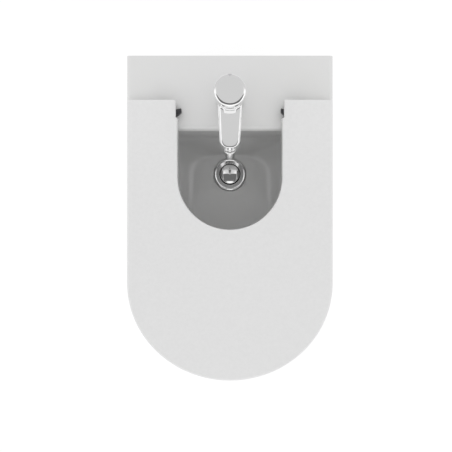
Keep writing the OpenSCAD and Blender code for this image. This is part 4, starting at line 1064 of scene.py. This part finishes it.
class BIDET_OT_stage(bpy.types.Operator):
    """White floor, soft light and the camera straight above"""

    bl_idname = "bidet.stage"
    bl_label = "Stage"

    def execute(self, context):
        self.floor(context)
        self.studio(context)
        self.camera(context)
        context.scene.view_settings.view_transform = "Standard"
        return {"FINISHED"}

    def floor(self, context):
        """A matt floor that keeps the object's shadow and shows white to the camera and in mirrors."""
        bm = bmesh.new()
        bmesh.ops.create_grid(bm, x_segments=1, y_segments=1, size=FLOOR_HALF)
        mesh = bpy.data.meshes.new("floor")
        bm.to_mesh(mesh)
        bm.free()
        floor = bpy.data.objects.new("floor", mesh)
        floor.location.z = FLOOR_Z
        context.scene.collection.objects.link(floor)
        paint = bpy.data.materials.new("white_floor")
        paint.use_nodes = True
        tree = paint.node_tree
        tree.nodes.clear()
        ray = add(tree, "ShaderNodeLightPath").outputs
        seen, either = ray["Is Camera Ray"], {"operation": "MAXIMUM"}
        for kind in ("Is Glossy Ray", "Is Transmission Ray"):
            seen = add(tree, "ShaderNodeMath", either, i0=seen, i1=ray[kind]).outputs[0]
        share = add(tree, "ShaderNodeMath", {"operation": "MULTIPLY"}, i0=seen)
        share.inputs[1].default_value = FLOOR_SHARE
        matt = add(tree, "ShaderNodeBsdfDiffuse", {"Color": FLOOR_GREY})
        glow = add(tree, "ShaderNodeEmission", {"Color": WHITE, "Strength": FLOOR_GLOW})
        mix = add(tree, "ShaderNodeMixShader", i0=share.outputs[0], i1=matt.outputs[0], i2=glow.outputs[0])
        add(tree, "ShaderNodeOutputMaterial", Surface=mix.outputs[0])
        mesh.materials.append(paint)

    def studio(self, context):
        """A white backdrop, soft light, and in mirrors a grey room with white walls and a dark patch."""
        world = bpy.data.worlds.new("studio")
        world.use_nodes = True
        tree = world.node_tree
        tree.nodes.clear()
        way = add(tree, "ShaderNodeSeparateXYZ", Vector=add(tree, "ShaderNodeTexCoord").outputs["Generated"])
        away = add(tree, "ShaderNodeMath", {"operation": "ABSOLUTE"}, i0=way.outputs["X"])
        fades = {}
        for name, (part, start, end) in FADES.items():
            source = away.outputs[0] if part == "side" else way.outputs[part]
            span = {"interpolation_type": "SMOOTHSTEP", "From Min": start, "From Max": end}
            fades[name] = add(tree, "ShaderNodeMapRange", span, Value=source).outputs["Result"]
        for name, kind, one, other in (
            ("walls", "MULTIPLY", "beside", "forward"),
            ("white", "MAXIMUM", "front", "walls"),
            ("low", "MULTIPLY", "foot", "walls"),
            ("dark", "MULTIPLY", "dark_sides", "dark_rear"),
            ("dark", "MULTIPLY", "dark", "dark_front"),
        ):
            both = {"operation": kind}
            fades[name] = add(tree, "ShaderNodeMath", both, i0=fades[one], i1=fades[other]).outputs[0]
        strength = None
        for name, value in AREAS.items():
            mixed = add(tree, "ShaderNodeMix", {"data_type": "FLOAT"}, i0=fades[name])
            mixed.inputs[2].default_value = ROOM
            mixed.inputs[3].default_value = value
            if strength:
                tree.links.new(strength, mixed.inputs[2])
            strength = mixed.outputs[0]
        room = add(tree, "ShaderNodeBackground", {"Color": WHITE}, Strength=strength).outputs[0]
        soft = add(tree, "ShaderNodeBackground", {"Color": WHITE, "Strength": SOFT_LIGHT}).outputs[0]
        white = add(tree, "ShaderNodeBackground", {"Color": WHITE, "Strength": 1.0}).outputs[0]
        ray = add(tree, "ShaderNodeLightPath").outputs
        light = add(tree, "ShaderNodeMixShader", i0=ray["Is Glossy Ray"], i1=soft, i2=room).outputs[0]
        mix = add(tree, "ShaderNodeMixShader", i0=ray["Is Camera Ray"], i1=light, i2=white)
        add(tree, "ShaderNodeOutputWorld", Surface=mix.outputs[0])
        context.scene.world = world

    def camera(self, context):
        """The camera, straight above the object."""
        sizes = context.scene.bidet_sizes
        lens = bpy.data.cameras.new("camera")
        lens.lens = sizes.lens
        lens.sensor_width = SENSOR
        lens.shift_x, lens.shift_y = (pixels / PHOTO_WIDTH for pixels in PHOTO_SHIFT)
        camera = bpy.data.objects.new("camera", lens)
        camera.location = (0.0, CAMERA_Y, sizes.camera_up)
        context.scene.collection.objects.link(camera)
        context.scene.camera = camera


class BIDET_PT_panel(bpy.types.Panel):
    """Sizes, colours and steps of the bidet"""

    bl_label = "Bidet"
    bl_space_type = "VIEW_3D"
    bl_region_type = "UI"
    bl_category = "Bidet"

    def draw(self, context):
        for group in (context.scene.bidet_sizes, context.scene.bidet_colours):
            for name in group.bl_rna.properties.keys():
                if name not in ("rna_type", "name"):
                    self.layout.prop(group, name)
        for step in STEPS:
            self.layout.operator(step.bl_idname)


STEPS = (
    BIDET_OT_finishes,
    BIDET_OT_china,
    BIDET_OT_cover,
    BIDET_OT_hinges,
    BIDET_OT_tap,
    BIDET_OT_nozzle,
    BIDET_OT_handle,
    BIDET_OT_cartridge,
    BIDET_OT_tap_fixing,
    BIDET_OT_linkage,
    BIDET_OT_waste,
    BIDET_OT_trap,
    BIDET_OT_floor_fixing,
    BIDET_OT_stage,
)
CLASSES = (BidetSizes, BidetColours, *STEPS, BIDET_PT_panel)


def register():
    for made in CLASSES:
        bpy.utils.register_class(made)
    bpy.types.Scene.bidet_sizes = bpy.props.PointerProperty(type=BidetSizes)
    bpy.types.Scene.bidet_colours = bpy.props.PointerProperty(type=BidetColours)


def unregister():
    del bpy.types.Scene.bidet_colours
    del bpy.types.Scene.bidet_sizes
    for made in reversed(CLASSES):
        bpy.utils.unregister_class(made)


def main():
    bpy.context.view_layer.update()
    register()
    for step in STEPS:
        getattr(bpy.ops.bidet, step.bl_idname.split(".")[1])()


if __name__ == "__main__":
    main()
